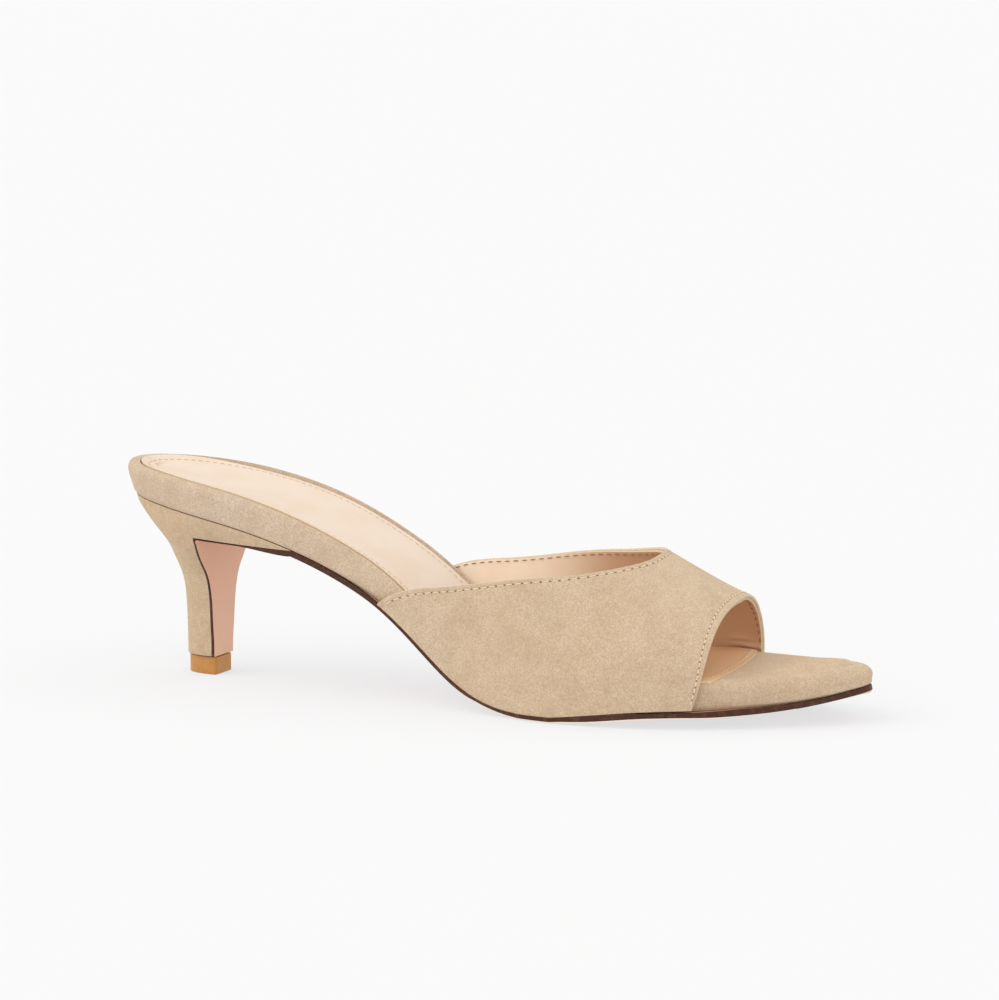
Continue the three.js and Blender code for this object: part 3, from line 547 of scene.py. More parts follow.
@dataclass(frozen=True)
class Finish:
    """What every finish has: a name, a colour and how rough it is."""

    name: str
    colour: str
    roughness: float = 0.5

    def _start(self) -> tuple[Material, Tree, Socket]:
        """Makes the empty material and returns it with its tree and object coordinates."""
        material = bpy.data.materials.new(self.name)
        material.use_nodes = True
        tree = material.node_tree
        tree.nodes.clear()
        place = add_node(tree, "ShaderNodeTexCoord", {})
        return material, tree, place.outputs["Object"]

    def _blend(
        self, tree: Tree, value: Socket, span: Sequence[float], below: Socket | str, above: str
    ) -> Socket:
        """Turns one colour into another as a value rises.

        Args:
            tree: the material's node tree.
            value: the value.
            span: where the change starts, where it ends and how far it goes.
            below: the colour before it.
            above: the colour after it.

        Returns:
            The mixed colour.
        """
        low, high, depth = span
        steps = {RANGE_VALUE: value, RANGE_LOW: low, RANGE_HIGH: high, RANGE_TOP: depth}
        share = add_node(tree, "ShaderNodeMapRange", {"interpolation_type": "SMOOTHSTEP", **steps})
        settings = {"data_type": "RGBA", MIX_FACTOR: share.outputs[0], MIX_A: below, MIX_B: above}
        return add_node(tree, "ShaderNodeMix", settings).outputs[MIX_RESULT]

    def _clouded(
        self, tree: Tree, place: Socket, below: Socket | str, cloud: Cloud
    ) -> tuple[Socket, Socket]:
        """Lays a cloud over a colour.

        Args:
            tree: the material's node tree.
            place: the coordinates.
            below: the colour below the cloud.
            cloud: the cloud.

        Returns:
            The mixed colour, and the cloud's pattern to raise a relief from.
        """
        settings = {"Vector": place, "Scale": per_metre(cloud.size_mm), "Detail": cloud.detail}
        settings |= {"Roughness": cloud.roughness, "Distortion": cloud.distortion}
        pattern = add_node(tree, "ShaderNodeTexNoise", settings).outputs["Fac"]
        span = cloud.low, cloud.high, cloud.depth
        return self._blend(tree, pattern, span, below, cloud.colour), pattern

    def _along(
        self, tree: Tree, place: Socket, span: Sequence[float], back: Socket | str, front: str
    ) -> Socket:
        """Turns one colour into another along the shoe, between two places in mm from its middle."""
        x = add_node(tree, "ShaderNodeSeparateXYZ", {0: place}).outputs[0]
        return self._blend(tree, x, (span[0] * MM, span[1] * MM, 1.0), back, front)

    def _surface(
        self, tree: Tree, settings: dict, height: Socket | None = None, relief: Sequence[float] = (0.0, 0.0)
    ) -> None:
        """Adds the surface shader and the output.

        Args:
            tree: the material's node tree.
            settings: the shader's settings besides its roughness.
            height: the pattern that stands out in relief, if any.
            relief: the relief's strength and its depth in millimetres.
        """
        settings = {"Roughness": self.roughness, **settings}
        if height is not None:
            raised = {"Strength": relief[0], "Distance": relief[1] * MM, "Height": height}
            settings["Normal"] = add_node(tree, "ShaderNodeBump", raised).outputs[0]
        shader = add_node(tree, "ShaderNodeBsdfPrincipled", settings)
        add_node(tree, "ShaderNodeOutputMaterial", {"Surface": shader.outputs[0]})

    def material(self) -> Material:
        """Makes the material, in one colour."""
        material, tree, _ = self._start()
        self._surface(tree, {"Base Color": self.colour})
        return material


@dataclass(frozen=True)
class GoatSuede(Finish):
    """Goat suede: the flesh side of the skin, buffed to a short velvet nap.

    The eye gets a soft matt tan that turns lighter or darker where the nap was brushed the other
    way, with a fine mottle from the ends of the fibres.
    """

    seat: str = "d1bdaa"  # cooler tan round the seat: painted cool light on the rim and the back of the vamp
    seat_span: tuple[float, float] = (-70.0, 20.0)  # where it turns into the colour, mm from the middle
    roughness: float = 0.95
    patches: Cloud = Cloud("c4a184", 30.0, 0.35, 0.68, 0.28, detail=1.0)
    brushed: Cloud = Cloud("a98f71", 9.0, 0.38, 0.66, 0.3, detail=3.0, distortion=0.6)
    lit: Cloud = Cloud("dccbb0", 2.2, 0.36, 0.64, 0.3, detail=4.0, roughness=0.65)
    # A tuft of nap is 0.2 mm wide, drawn coarser to show
    tufts: Cloud = Cloud("a98f71", 0.5, 0.3, 0.7, 0.7, detail=3.0, roughness=0.7)
    relief: tuple[float, float] = (0.55, 0.25)
    sheen: float = 0.25

    def material(self) -> Material:
        """Makes the material."""
        material, tree, place = self._start()
        # Painted cool light: the colour is cooler round the seat and turns into the plain colour towards the
        # toe
        colour = self._along(tree, place, self.seat_span, self.seat, self.colour)
        for cloud in (self.patches, self.brushed, self.lit, self.tufts):
            colour, pattern = self._clouded(tree, place, colour, cloud)
        settings = {"Base Color": colour, "Specular IOR Level": 0.15}
        settings |= {"Sheen Weight": self.sheen, "Sheen Roughness": 0.6, "Sheen Tint": self.lit.colour}
        self._surface(tree, settings, pattern, self.relief)
        return material


@dataclass(frozen=True)
class SmoothLeather(Finish):
    """Smooth grain leather: the hair side of the skin with a thin clear finish.

    The eye gets an even colour with faint clouds and fine pores, and a low soft shine.
    """

    cloud: str = "e6c7a8"
    cloud_mm: float = 14.0
    pore_mm: float = 0.5  # pores are 0.1 mm wide, drawn coarser to show
    relief: tuple[float, float] = (0.08, 0.1)
    shine: float = 0.35
    worn: str | None = None  # darker, browner colour towards the toe: painted shade, where the vamp shades the leather
    toe_shade_span: tuple[float, float] = (0.0, 1.0)  # where the painted shade deepens, mm from the middle

    def material(self) -> Material:
        """Makes the material."""
        material, tree, place = self._start()
        cloud = Cloud(self.cloud, self.cloud_mm, 0.35, 0.7, 0.5, detail=4.0, distortion=0.4)
        colour, _ = self._clouded(tree, place, self.colour, cloud)
        # Painted shade: the colour darkens towards the toe, in the shade of the vamp
        if self.worn:
            colour = self._along(tree, place, self.toe_shade_span, colour, self.worn)
        pores = add_node(tree, "ShaderNodeTexVoronoi", {"Scale": per_metre(self.pore_mm), "Vector": place})
        settings = {"Base Color": colour, "Specular IOR Level": self.shine}
        self._surface(tree, settings, pores.outputs["Distance"], self.relief)
        return material


@dataclass(frozen=True)
class EdgePaint(Finish):
    """Brown edge paint: an acrylic lacquer rolled on the trimmed edge of the sole.

    The eye gets a dark line that breaks up into small glints where the trimmed fibres show through.
    """

    worn: str = "6b4735"
    streak_mm: float = 1.6
    relief: tuple[float, float] = (0.5, 0.15)

    def material(self) -> Material:
        """Makes the material."""
        material, tree, place = self._start()
        streaks = Cloud(self.worn, self.streak_mm, 0.45, 0.75, detail=5.0, roughness=0.6)
        colour, pattern = self._clouded(tree, place, self.colour, streaks)
        shine = {"Coat Weight": 0.05, "Coat Roughness": 0.35, "Specular IOR Level": 0.2}
        self._surface(tree, {"Base Color": colour, **shine}, pattern, self.relief)
        return material


@dataclass(frozen=True)
class RawEdge(Finish):
    """Cut edge of leather, or spun thread: packed fibres without any finish.

    The eye gets a dull, slightly streaky colour.
    """

    dark: str = "a97c48"
    fibre_mm: float = 0.4
    relief: tuple[float, float] = (0.4, 0.1)

    def material(self) -> Material:
        """Makes the material."""
        material, tree, place = self._start()
        fibres = Cloud(self.dark, self.fibre_mm, 0.4, 0.75, detail=3.0)
        colour, pattern = self._clouded(tree, place, self.colour, fibres)
        self._surface(tree, {"Base Color": colour, "Specular IOR Level": 0.2}, pattern, self.relief)
        return material


@dataclass(frozen=True)
class MouldedPolyurethane(Finish):
    """Heel tip: amber thermoplastic polyurethane, straight from the mould.

    The eye gets a warm, slightly clear brown with a soft shine and faint flow marks.
    """

    deep: str = "a8743a"
    flow_mm: float = 3.0
    grain_mm: float = 0.3
    relief: tuple[float, float] = (0.1, 0.05)

    def material(self) -> Material:
        """Makes the material."""
        material, tree, place = self._start()
        colour, _ = self._clouded(tree, place, self.colour, Cloud(self.deep, self.flow_mm, 0.25, 0.95))
        grain = add_node(tree, "ShaderNodeTexNoise", {"Scale": per_metre(self.grain_mm), "Vector": place})
        shine = {"Coat Weight": 0.05, "Specular IOR Level": 0.3}
        self._surface(tree, {"Base Color": colour, **shine}, grain.outputs["Fac"], self.relief)
        return material


@dataclass(frozen=True)
class LitAcrylic(Finish):
    """Floor: a white acrylic table, lit softly from below.

    The eye gets an even white with pale, washed out shadows. The lamp below is cooler than the
    table's top, which keeps the shadows neutral beside the warm shoe.
    """

    lamp: str = "c3cfd4"

    def material(self) -> Material:
        """Makes the material."""
        material, tree, _ = self._start()
        matt = add_node(tree, "ShaderNodeBsdfDiffuse", {"Color": self.colour})
        lamp = add_node(tree, "ShaderNodeEmission", {"Color": self.lamp, "Strength": 1.0})
        both = add_node(tree, "ShaderNodeAddShader", {0: matt.outputs[0], 1: lamp.outputs[0]})
        add_node(tree, "ShaderNodeOutputMaterial", {"Surface": both.outputs[0]})
        return material


class Shade(Enum):
    """The finishes of the shoe and its stage."""

    SUEDE = GoatSuede("tan_goat_suede", "d2ba9f")
    # A darker, yellower copy of the suede for the heel: painted warm light thrown up from the table
    HEEL_SUEDE = GoatSuede("tan_goat_suede_heel", "cbb193", seat="cbb193")
    SUEDE_EDGE = RawEdge("cut_suede_edge", "d6c2a3", 0.95, dark="bfa786")
    # The sock's colour turns darker towards the toe: painted shade under the vamp
    SOCK = SmoothLeather(
        "peach_sock_leather", "e3d0bd", 0.55, cloud="dfc5ab", shine=0.25,
        worn="d8ae84", toe_shade_span=(40.0, 66.0),
    )
    SOCK_EDGE = RawEdge("cut_sock_edge", "e0c6a0", 0.8, dark="cdb08a")
    # The lining's colour turns darker towards the toe: painted shade inside the vamp
    LINING = SmoothLeather(
        "peach_lining_leather", "f8e6cd", 0.5, cloud="f3dbbf", worn="cca583", toe_shade_span=(2.0, 36.0)
    )
    SOLE = SmoothLeather("nude_sole_leather", "deb296", 0.42, cloud="d6ab8c", cloud_mm=20.0)
    # Bare sanded leather, lighter than the grain, and lighter still as a painted highlight of the floor's
    # light on the downward bevel
    BEVEL = RawEdge("sanded_sole_bevel_painted_highlight", "f8e8dc", 0.7, dark="f1dccb")
    PAINT = EdgePaint("brown_edge_paint", "43271a", 0.5, worn="5f3b2a")
    THREAD = RawEdge("tan_polyester_thread", "dfcdae", 0.7, dark="cbb491")
    SOCK_THREAD = RawEdge("peach_polyester_thread", "d8ba9c", 0.7, dark="c09a78")
    # The tan thread where it shows on the lining, darkened: painted shade inside the vamp
    LINING_THREAD = RawEdge("lining_side_thread_painted_shade", "9a7858", 0.7, dark="86664a")
    # Dark beads in the needle holes: painted shade
    HOLE = Finish("painted_needle_hole_shade", "806648", 1.0)
    TIP = MouldedPolyurethane("amber_polyurethane", "bc8442", 0.4)
    TABLE = LitAcrylic("white_acrylic", "9d8e87", 0.9)

    @property
    def made(self) -> Material:
        """The Blender material, made on first use."""
        return bpy.data.materials.get(self.value.name) or self.value.material()


class Slot(Enum):
    """The record's material slots."""

    SUEDE = "suede"
    SOLE = "sole_leather"
    SOCK = "sock_leather"
    TIP = "heel_tip"


def place(piece: Piece, slot: Slot | None, *nodes: str) -> Piece:
    """Hides the CAD nodes that a piece replaces.

    Args:
        piece: the Blender object.
        slot: material slot of the record, if it has one; not used.
        nodes: CAD nodes that it replaces.

    Returns:
        The piece.
    """
    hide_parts(*nodes)
    return piece


# The shoe's sub-assemblies


@dataclass
class Footbed:
    """Insole board with its edge and its toe pad wrapped in one piece of suede."""

    form: ShoeForm
    rows: int = 360
    inside: int = 40
    turn: float = 0.9  # radius where the suede turns under
    pillow: float = 0.55  # how far the toe pad swells between its edge and the sock
    pad_start: float = 0.86  # stations between which the rim turns into the round toe pad
    pad_end: float = 0.97
    bed_fade: float = 11.0  # width of the bed below which its crown flattens out
    ledge: float = 0.08  # flat width of the crest before it steps down into the sock's bed
    ledge_room: float = 1.9  # share of the sock's room at the back that the crest takes up
    bed_room: float = 1.35  # and share of it that the bed's edge lies further in

    # Profile of the rim: share of the draft, share of the edge radius, share of the height, and
    # share of the height at the rounder toe pad.
    profile: tuple = (
        (1.0, 0.0, 0.0, 0.0), (0.86, -0.02, 0.1, 0.08), (0.7, -0.02, 0.2, 0.16), (0.46, 0.0, 0.36, 0.27),
        (0.2, 0.0, 0.54, 0.37), (0.04, 0.0, 0.7, 0.47), (0.0, 0.03, 0.78, 0.58), (0.0, 0.12, 0.86, 0.7),
        (0.0, 0.28, 0.928, 0.83), (0.0, 0.5, 0.972, 0.925), (0.0, 0.75, 0.994, 0.985), (0.0, 1.0, 1.0, 1.0),
    )  # fmt: skip

    def _ring(self, side: int, share: Array, inset: Curve) -> tuple[Array, Array]:
        """Returns x and y of the outline moved inwards, at shares of its length."""
        edge = InsetEdge(self.form, side, inset)
        x = lerp(edge.start, edge.end, share)
        tip = np.where(share > 0.5, self.form.centre_y(np.array(1.0)), 0.0)
        return x, np.where((share == 0) | (share == 1), tip, edge.y(x))

    def _levels(self) -> list[tuple[Curve, Callable[[Array], Array]]]:
        """Returns inset and height share functions from the heel seam up over the crest."""
        form = self.form
        levels = []
        for draft, radius, height, soft in self.profile:
            for inward, lift in self._turned(height):
                def inset(at: Array, d: float = draft, r: float = radius, i: float = inward) -> Array:
                    """Returns the level's inset."""
                    return d * form.seat_draft(at) + r * form.edge_radius(at) + i

                def rise(at: Array, h: float = height, s: float = soft, up: float = lift) -> Array:
                    """Returns the level's height."""
                    pad = smooth((at - self.pad_start) / (self.pad_end - self.pad_start))
                    return lerp(form.feather_z(at) - form.sag(at), form.rim_z(at), lerp(h, s, pad)) + up

                levels.append((inset, rise))

        def crest(at: Array) -> Array:
            """Returns the inset of the crest's inner end."""
            return form.edge_radius(at) + self.ledge + self.ledge_room * form.back_room(at)

        return [*levels, (crest, form.rim_z)]

    def _turned(self, height: float) -> list[tuple[float, float]]:
        """Returns the rounding where the suede turns under, for the lowest level."""
        if height > 0:
            return [(0.0, 0.0)]
        angles = np.radians([90, 70, 50, 30, 12])
        return [(self.turn * (1 - math.cos(a)), self.turn * (1 - math.sin(a))) for a in angles]

    def build(self) -> Piece:
        """Builds the wrapped footbed."""
        form = self.form
        share = cosine(self.rows)
        sides = {}
        for side in (LATERAL, MEDIAL):
            line = []
            for inset, rise in self._levels():
                x, y = self._ring(side, share, inset)
                line.append(np.stack([x, y, rise(x / form.length)], -1))
            sides[side] = line

        def bed_edge(at: Array) -> Array:
            """Returns the inset of the bed's edge."""
            return form.edge_radius(at) + form.bed_step + self.bed_room * form.back_room(at)

        bed = {side: self._ring(side, share, bed_edge) for side in sides}
        interior = []
        width = bed[MEDIAL][1] - bed[LATERAL][1]
        flat = smooth(width / self.bed_fade)
        for t in even(self.inside):
            x = lerp(bed[LATERAL][0], bed[MEDIAL][0], t)
            y = lerp(bed[LATERAL][1], bed[MEDIAL][1], t)
            at = x / form.length
            across = np.where((share == 0) | (share == 1), 1.0, 2 * t - 1)
            swell = self.pillow * bell(at, 0.93, 0.06) * (1 - across**2)
            crown = form.bed_z(at, across) - form.bed_z(at, 1.0) + swell
            interior.append(np.stack([x, y, form.bed_z(at, 1.0) + crown * flat], -1))
        upper = np.stack(sides[LATERAL] + interior + sides[MEDIAL][::-1], 1)
        count = upper.shape[1]
        near, far = upper[:, 0], upper[:, -1]
        under = np.stack([lerp(near, far, j / (count - 1)) for j in range(1, count - 1)][::-1], 1)
        draft = Draft()
        top = draft.points(upper)
        below = draft.points(under)
        draft.skin(np.concatenate([top, below, top[:, :1]], 1))
        piece = draft.piece("footbed_wrap", [Shade.SUEDE.made])
        return place(piece, Slot.SUEDE, "footbed")


@dataclass
class Sock:
    """Thin leather sheet glued on the footbed, stitched along its margin."""

    form: ShoeForm
    thickness: float = 0.9
    skived: float = 0.65  # thickness at the front edge, pared down so the toes don't feel it
    clearance: float = 0.4
    front_station: float = 0.8455
    front_centre: float = -9.0
    front_radius: float = 110.0
    corner_y: float = -18.5  # where the front edge turns back round its lateral corner
    corner_radius: float = 5.5
    margin: float = 2.5  # the side stitches' distance from the edge
    front_margin: float = 1.7
    front_row: tuple[float, float] = (-21.0, 31.0)  # ends of the front stitches
    stitched: float = 0.93  # share of the rows with stitches down the sides
    rounded: float = 0.14  # how far the top edge is rounded down
    front_rounded: float = 0.12
    rows: int = 220
    inside: int = 30
    borders: tuple = (0.0, 0.12, 0.3, 0.7, 1.2, 1.8, 2.2, 2.5, 2.8, 3.3, 4.0)

    def _inset(self, at: Array) -> Array:
        """Returns the distance of the sock's edge from the footbed's edge."""
        form = self.form
        bed = form.edge_radius(at) + form.bed_step
        reach = self.clearance + lerp(0.3 * form.edge_radius(at), bed, form.stepped(at))
        return reach + form.back_room(at) - 0.45 * smooth((at - 0.74) / 0.05)

    def _front_x(self, y: Array) -> Array:
        """Returns the front edge's x."""
        arc = self.front_station * self.form.length - (y - self.front_centre) ** 2 / (2 * self.front_radius)
        turn = np.clip((self.corner_y - y) / self.corner_radius, 0, 1)
        return arc - self.corner_radius * (1 - np.sqrt(1 - turn**2))

    def _end_x(self, edge: InsetEdge) -> float:
        """Returns the x where a line along the margin meets the front edge."""
        low, high = 0.7 * self.form.length, self.front_station * self.form.length
        for _ in range(30):
            middle = (low + high) / 2
            behind = middle < float(self._front_x(edge.y(np.array(middle))))
            low, high = (middle, high) if behind else (low, middle)
        return low

    def _thick(self, x: Array, y: Array) -> Array:
        """Returns the sheet's thickness, skived towards the front."""
        return lerp(self.skived, self.thickness, smooth((self._front_x(y) - x) / 6))

    def _columns(self, t: Array) -> Array:
        """Returns the sheet's top as rows by columns of points."""
        form = self.form
        eased = 1 - np.cos(np.pi / 2 * t)
        sides = {}
        for side in (LATERAL, MEDIAL):
            made = []
            for border in self.borders:
                edge = InsetEdge(form, side, lambda at, b=border: self._inset(at) + b)
                x = lerp(edge.start, self._end_x(edge), eased)
                y = np.where(t == 0, 0.0, edge.y(x))
                at = x / form.length
                z = form.top_z(at, self._inset(at) + border)
                groove = 0.12 * bell(border, self.margin, 0.35)
                if side == LATERAL:
                    hold = np.ones_like(at)
                else:
                    hold = 1 - smooth((x - 5) / 32)
                # The border is glued up against the rim, so its cut edge shows at the crest
                lift = hold * form.stepped(at) * (form.rim_z(at) + 0.15 - self.thickness - z)
                z = z + np.maximum(lift, 0) * (1 - smooth(border / 3.6)) - groove
                made.append(np.stack([x, y, z], -1))
            sides[side] = made
        inner = {side: made[-1] for side, made in sides.items()}
        middle = []
        for j in range(1, self.inside):
            c = j / self.inside
            p = lerp(inner[LATERAL], inner[MEDIAL], c)
            # The front edge bows out beyond the straight line between its ends
            p[:, 0] += (self._front_x(p[-1, 1]) - p[-1, 0]) * smooth((t - 0.6) / 0.4)
            at = p[:, 0] / form.length
            z = form.bed_z(at, 2 * c - 1) + 0.05 * np.sin(p[:, 0] / 17 + 3 * c) * np.sin(np.pi * c)
            edges = lerp(inner[LATERAL][:, 2], inner[MEDIAL][:, 2], c) - form.bed_z(at, 1.0)
            middle.append(np.stack([p[:, 0], p[:, 1], z + edges * (2 * c - 1) ** 4], -1))
        return np.stack(sides[LATERAL] + middle + sides[MEDIAL][::-1], 1)

    def build(self) -> list[Piece]:
        """Builds the sheet and its stitches."""
        base = self._columns(even(self.rows))
        x, y = base[..., 0], base[..., 1]
        glued = base + [0, 0, 0.05]
        thick = self._thick(x, y)
        top = glued + np.stack([0 * x, 0 * x, thick], -1)
        top[:, [0, -1], 2] -= self.rounded
        top[-1, :, 2] -= self.front_rounded
        count = top.shape[1]
        draft = Draft()
        raw = np.zeros(2 * count, int)
        raw[[0, count - 2, count - 1, 2 * count - 1]] = 1, 1, 1, 1
        draft.loop(np.concatenate([top, glued[:, ::-1]], 1), raw, cap=1)
        sheet = draft.piece("sock_leather", [Shade.SOCK.made, Shade.SOCK_EDGE.made])
        place(sheet, Slot.SOCK, "insole_sock")
        return [sheet, *self._stitches(top)]

    def _stitches(self, top: Array) -> list[Piece]:
        """Sews the margin down both sides and round the back, and the front margin."""
        threads, light, hole_shades = Draft(), Draft(), Draft()
        column = self.borders.index(self.margin)
        stop = int(self.rows * self.stitched)
        lateral, medial = top[:stop, column], top[:stop, -1 - column]
        sides = StitchRow(pitch=2.3, stitch=1.6, thread=0.34, rise=0.06)
        sides.sew(threads, Line.level(np.concatenate([lateral[::-1], medial[1:]])))
        y = np.linspace(*self.front_row, 120)
        x = self._front_x(y) - self.front_margin
        grid = top.reshape(-1, 3)
        keep = grid[grid[:, 0] > 0.7 * self.form.length]
        near = [np.argmin((keep[:, 0] - a) ** 2 + (keep[:, 1] - b) ** 2) for a, b in zip(x, y)]
        z = np.convolve(np.pad(keep[near, 2], 4, mode="edge"), np.ones(9) / 9, mode="valid")
        row = StitchRow(pitch=2.0, stitch=1.1, thread=0.44, hole=0.4, rise=0.08, slant=60.0, end=3)
        row.sew(light, Line.level(np.stack([x, y, z], -1)), hole_shades)
        return [
            threads.piece("sock_thread", [Shade.SOCK_THREAD.made]),
            light.piece("sock_front_thread", [Shade.THREAD.made]),
            hole_shades.piece("sock_needle_hole_shades", [Shade.HOLE.made]),
        ]


@dataclass(frozen=True)
class Cut:
    """A cut edge of the vamp, by the stations of its apex and of its feet."""

    apex: float
    lateral: float
    medial: float
    lateral_power: float
    medial_power: float
    centre: float = 0.5  # where the apex lies across the arch

    def station(self, across: Array) -> Array:
        """Returns the cut's station at places across the arch."""
        lateral = np.clip(1 - across / self.centre, 0, 1) ** self.lateral_power
        medial = np.clip((across - self.centre) / (1 - self.centre), 0, 1) ** self.medial_power
        return self.apex + (self.lateral - self.apex) * lateral + (self.medial - self.apex) * medial


@dataclass
class Vamp:
    """The upper: one band of suede over the foot, lined with leather."""

    form: ShoeForm
    wall_room: float = 2.1
    suede: float = 1.0
    lining: float = 0.75
    ridge_offset: float = 2.6
    lateral_fullness: float = 2.16
    medial_fullness: float = 2.2
    side_bulge: float = 0.7
    girth: float = 53.0
    collar: Cut = Cut(0.7305, 0.398, 0.389, 1.92, 2.36, centre=0.46)
    toe_edge: Cut = Cut(0.836, 0.8232, 0.818, 6.5, 0.8)
    foot_drop: float = 0.02  # how far its foot hangs below the feather line
    collar_margin: float = 1.7  # topstitching's distance from the collar
    toe_margin: float = 2.3  # and from the toe edge
    across: int = 260
    lengthwise: int = 70
    ridge: tuple = ((0.36, 3.07), (0.5, 2.04), (0.66, 1.078), (0.73, 0.875), (0.8, 0.716), (0.86, 0.609))

    def __post_init__(self) -> None:
        """Makes the ridge's spline and the places across the arch."""
        self._ridge = columns(self.ridge)[0]
        t = even(self.across)
        self._t = lerp(t, cosine(self.across), 0.5)

    def _section(self, at: Array, across: Array) -> Array:
        """Returns points of the wall's outside."""
        form = self.form
        side = np.where(across < 0.5, -1.0, 1.0)
        angle = np.pi * (1 - across)
        exponent = 2 / np.where(side < 0, self.lateral_fullness, self.medial_fullness)
        out = np.abs(np.cos(angle)) ** exponent
        up = np.abs(np.sin(angle)) ** exponent
        reach = form.half_width(at, side) + self.wall_room - side * self.ridge_offset
        swell = self.side_bulge * np.sin(np.pi * up) * out
        y = form.centre_y(at) + self.ridge_offset + side * (reach * out + swell)
        z = lerp(form.feather_z(at), self.girth * self._ridge(at), up)
        return np.stack([at * form.length + 0 * y, y, z], -1)

    def _outer(self, along: Array, across: Array) -> Array:
        """Returns points of the outside between the collar and the toe edge."""
        at = lerp(self.collar.station(across), self.toe_edge.station(across), along)
        return self._section(at, across)

    def _normal(self, along: Array, across: Array) -> Array:
        """Returns outward normals of the outside."""
        step = 1e-3
        lengthwise = self._outer(along + step, across) - self._outer(along - step, across)
        low, high = np.maximum(across - step, 1e-6), np.minimum(across + step, 1 - 1e-6)
        crosswise = self._outer(along, high) - self._outer(along, low)
        normal = np.cross(lengthwise, crosswise)
        return normal / np.linalg.norm(normal, axis=-1, keepdims=True)

    def _lengths(self, across: Array) -> Array:
        """Returns the distance from the collar to the toe edge along the wall."""
        steps = [self._outer(np.full_like(across, a), across) for a in even(24)]
        return sum(np.linalg.norm(b - a, axis=-1) for a, b in zip(steps, steps[1:]))

    def _collar_margin(self, across: Array) -> Array:
        """Returns the topstitching's distance from the collar; it closes in on the medial side."""
        return self.collar_margin * lerp(0.5, 1.0, smooth((1 - across) / 0.4))

    def _toe_margin(self, across: Array) -> Array:
        """Returns the topstitching's distance from the toe edge; it closes in towards the feet."""
        return self.toe_margin * lerp(0.42, 1.0, smooth(4 * across * (1 - across) / 0.95))

    def _relief(self, along: Array, across: Array, from_collar: Array, from_toe: Array) -> Array:
        """Returns how far the suede stands out or in: stitch grooves and soft hollows.

        Args:
            along: place between the collar and the toe edge.
            across: place across the arch.
            from_collar: distance from the collar.
            from_toe: distance from the toe edge.

        Returns:
            Millimetres along the normal.
        """
        groove = 0.16 * bell(from_collar, self._collar_margin(across), 0.4)
        groove = groove + 0.16 * bell(from_toe, self._toe_margin(across), 0.4)
        lip = 0.06 * bell(from_collar, 0.8, 0.5) + 0.08 * bell(from_toe, 1.1, 0.7)
        throat = 0.45 * bell(along, 0.3, 0.22) * bell(across, 0.38, 0.08)
        flank = 0.35 * bell(along, 0.55, 0.2) * bell(across, 0.2, 0.07)
        swell = 0.3 * bell(along, 0.75, 0.16) * bell(across, 0.3, 0.1)
        far = 0.3 * bell(along, 0.5, 0.25) * bell(across, 0.75, 0.1)
        ripple = 0.07 * np.sin(11 * along + 9 * across) * np.sin(23 * across + 2)
        return lip - groove - throat - flank + swell - far + ripple

    def _folds(self, at: Array, height: Array, side: Array) -> Array:
        """Returns how far the lining folds away from the wall, just above the sock.

        Args:
            at: station.
            height: height above the feather line.
            side: -1 or 1.

        Returns:
            Millimetres inwards.
        """
        lean = 9.6 + 14 * (at - 0.78) + 0.5 * np.sin(90 * at)
        ridge = 0.8 * bell(height - lean, 0, 0.9) * bell(at, 0.8, 0.022)
        second = 0.45 * bell(height - lean, 2.0, 0.8) * bell(at, 0.79, 0.014)
        fade = np.where(side > 0, 1.0, 0.6)
        return (ridge + second) * fade

    def _shell(
        self, start: float, depth: float, radius: float, pull: float, inner: bool
    ) -> tuple[Array, Array]:
        """Makes the closed loops of one layer of the wall.

        Args:
            start: depth of its outside below the wall's outside.
            depth: its thickness.
            radius: rounding of its cut edges.
            pull: how far its cut edges lie back from the wall's.
            inner: whether it is the lining, with its folds.

        Returns:
            Points as across by loop, and the loop's paint: 1 on cut edges.
        """
        t = self._t
        lengths = self._lengths(t)
        border = [0.0, 0.12, 0.3, 0.6, 0.95, 1.25, 1.45, 1.6, 1.75, 1.95, 2.15, 2.3, 2.45, 2.65, 2.95, 3.4]
        border = np.array(border)
        middle = even(self.lengthwise)[1:-1]
        reach = border[-1]
        spots = []  # (distance from the collar or None, distance from the toe or None, share)
        spots += [("collar", d) for d in border]
        spots += [("middle", m) for m in middle]
        spots += [("toe", d) for d in border[::-1]]

        def along(kind: str, value: float) -> Array:
            """Returns the place along the wall for every place across it."""
            if kind == "collar":
                return (value + pull) / lengths
            if kind == "toe":
                return 1 - (value + pull) / lengths
            low, high = (reach + pull) / lengths, 1 - (reach + pull) / lengths
            return lerp(low, high, value)

        def surface(extra: float) -> list[Array]:
            """Returns columns of points at a depth."""
            made = []
            for kind, value in spots:
                a = along(kind, value)
                p, n = self._outer(a, t), self._normal(a, t)
                from_collar, from_toe = a * lengths, (1 - a) * lengths
                relief = self._relief(a, t, from_collar, from_toe)
                d = start + extra
                if inner and extra > 0:
                    at = p[:, 0] / self.form.length
                    up = p[:, 2] - self.form.feather_z(at)
                    d = d + self._folds(at, up, np.sign(t - 0.5))
                    relief = relief * 0.3
                q = p + n * (relief - d)[:, None]
                foot = self.form.feather_z(q[:, 0] / self.form.length) - self.foot_drop
                q[:, 2] = np.where((t == 0) | (t == 1), foot, np.maximum(q[:, 2], foot))
                made.append(q)
            return made

        outside, inside = surface(0.0), surface(depth)

        def nose(a: Array, b: Array, a_next: Array) -> list[Array]:
            """Returns the rounded cut edge from one surface to the other."""
            back = a - a_next
            back /= np.linalg.norm(back, axis=1, keepdims=True)
            made = []
            for share in (0.1, 0.3, 0.5, 0.7, 0.9):
                bulge = radius * math.sin(math.pi * share) ** 0.6
                made.append(lerp(a, b, share) + back * bulge)
            return made

        toe = nose(outside[-1], inside[-1], outside[-2])
        collar = nose(inside[0], outside[0], inside[1])
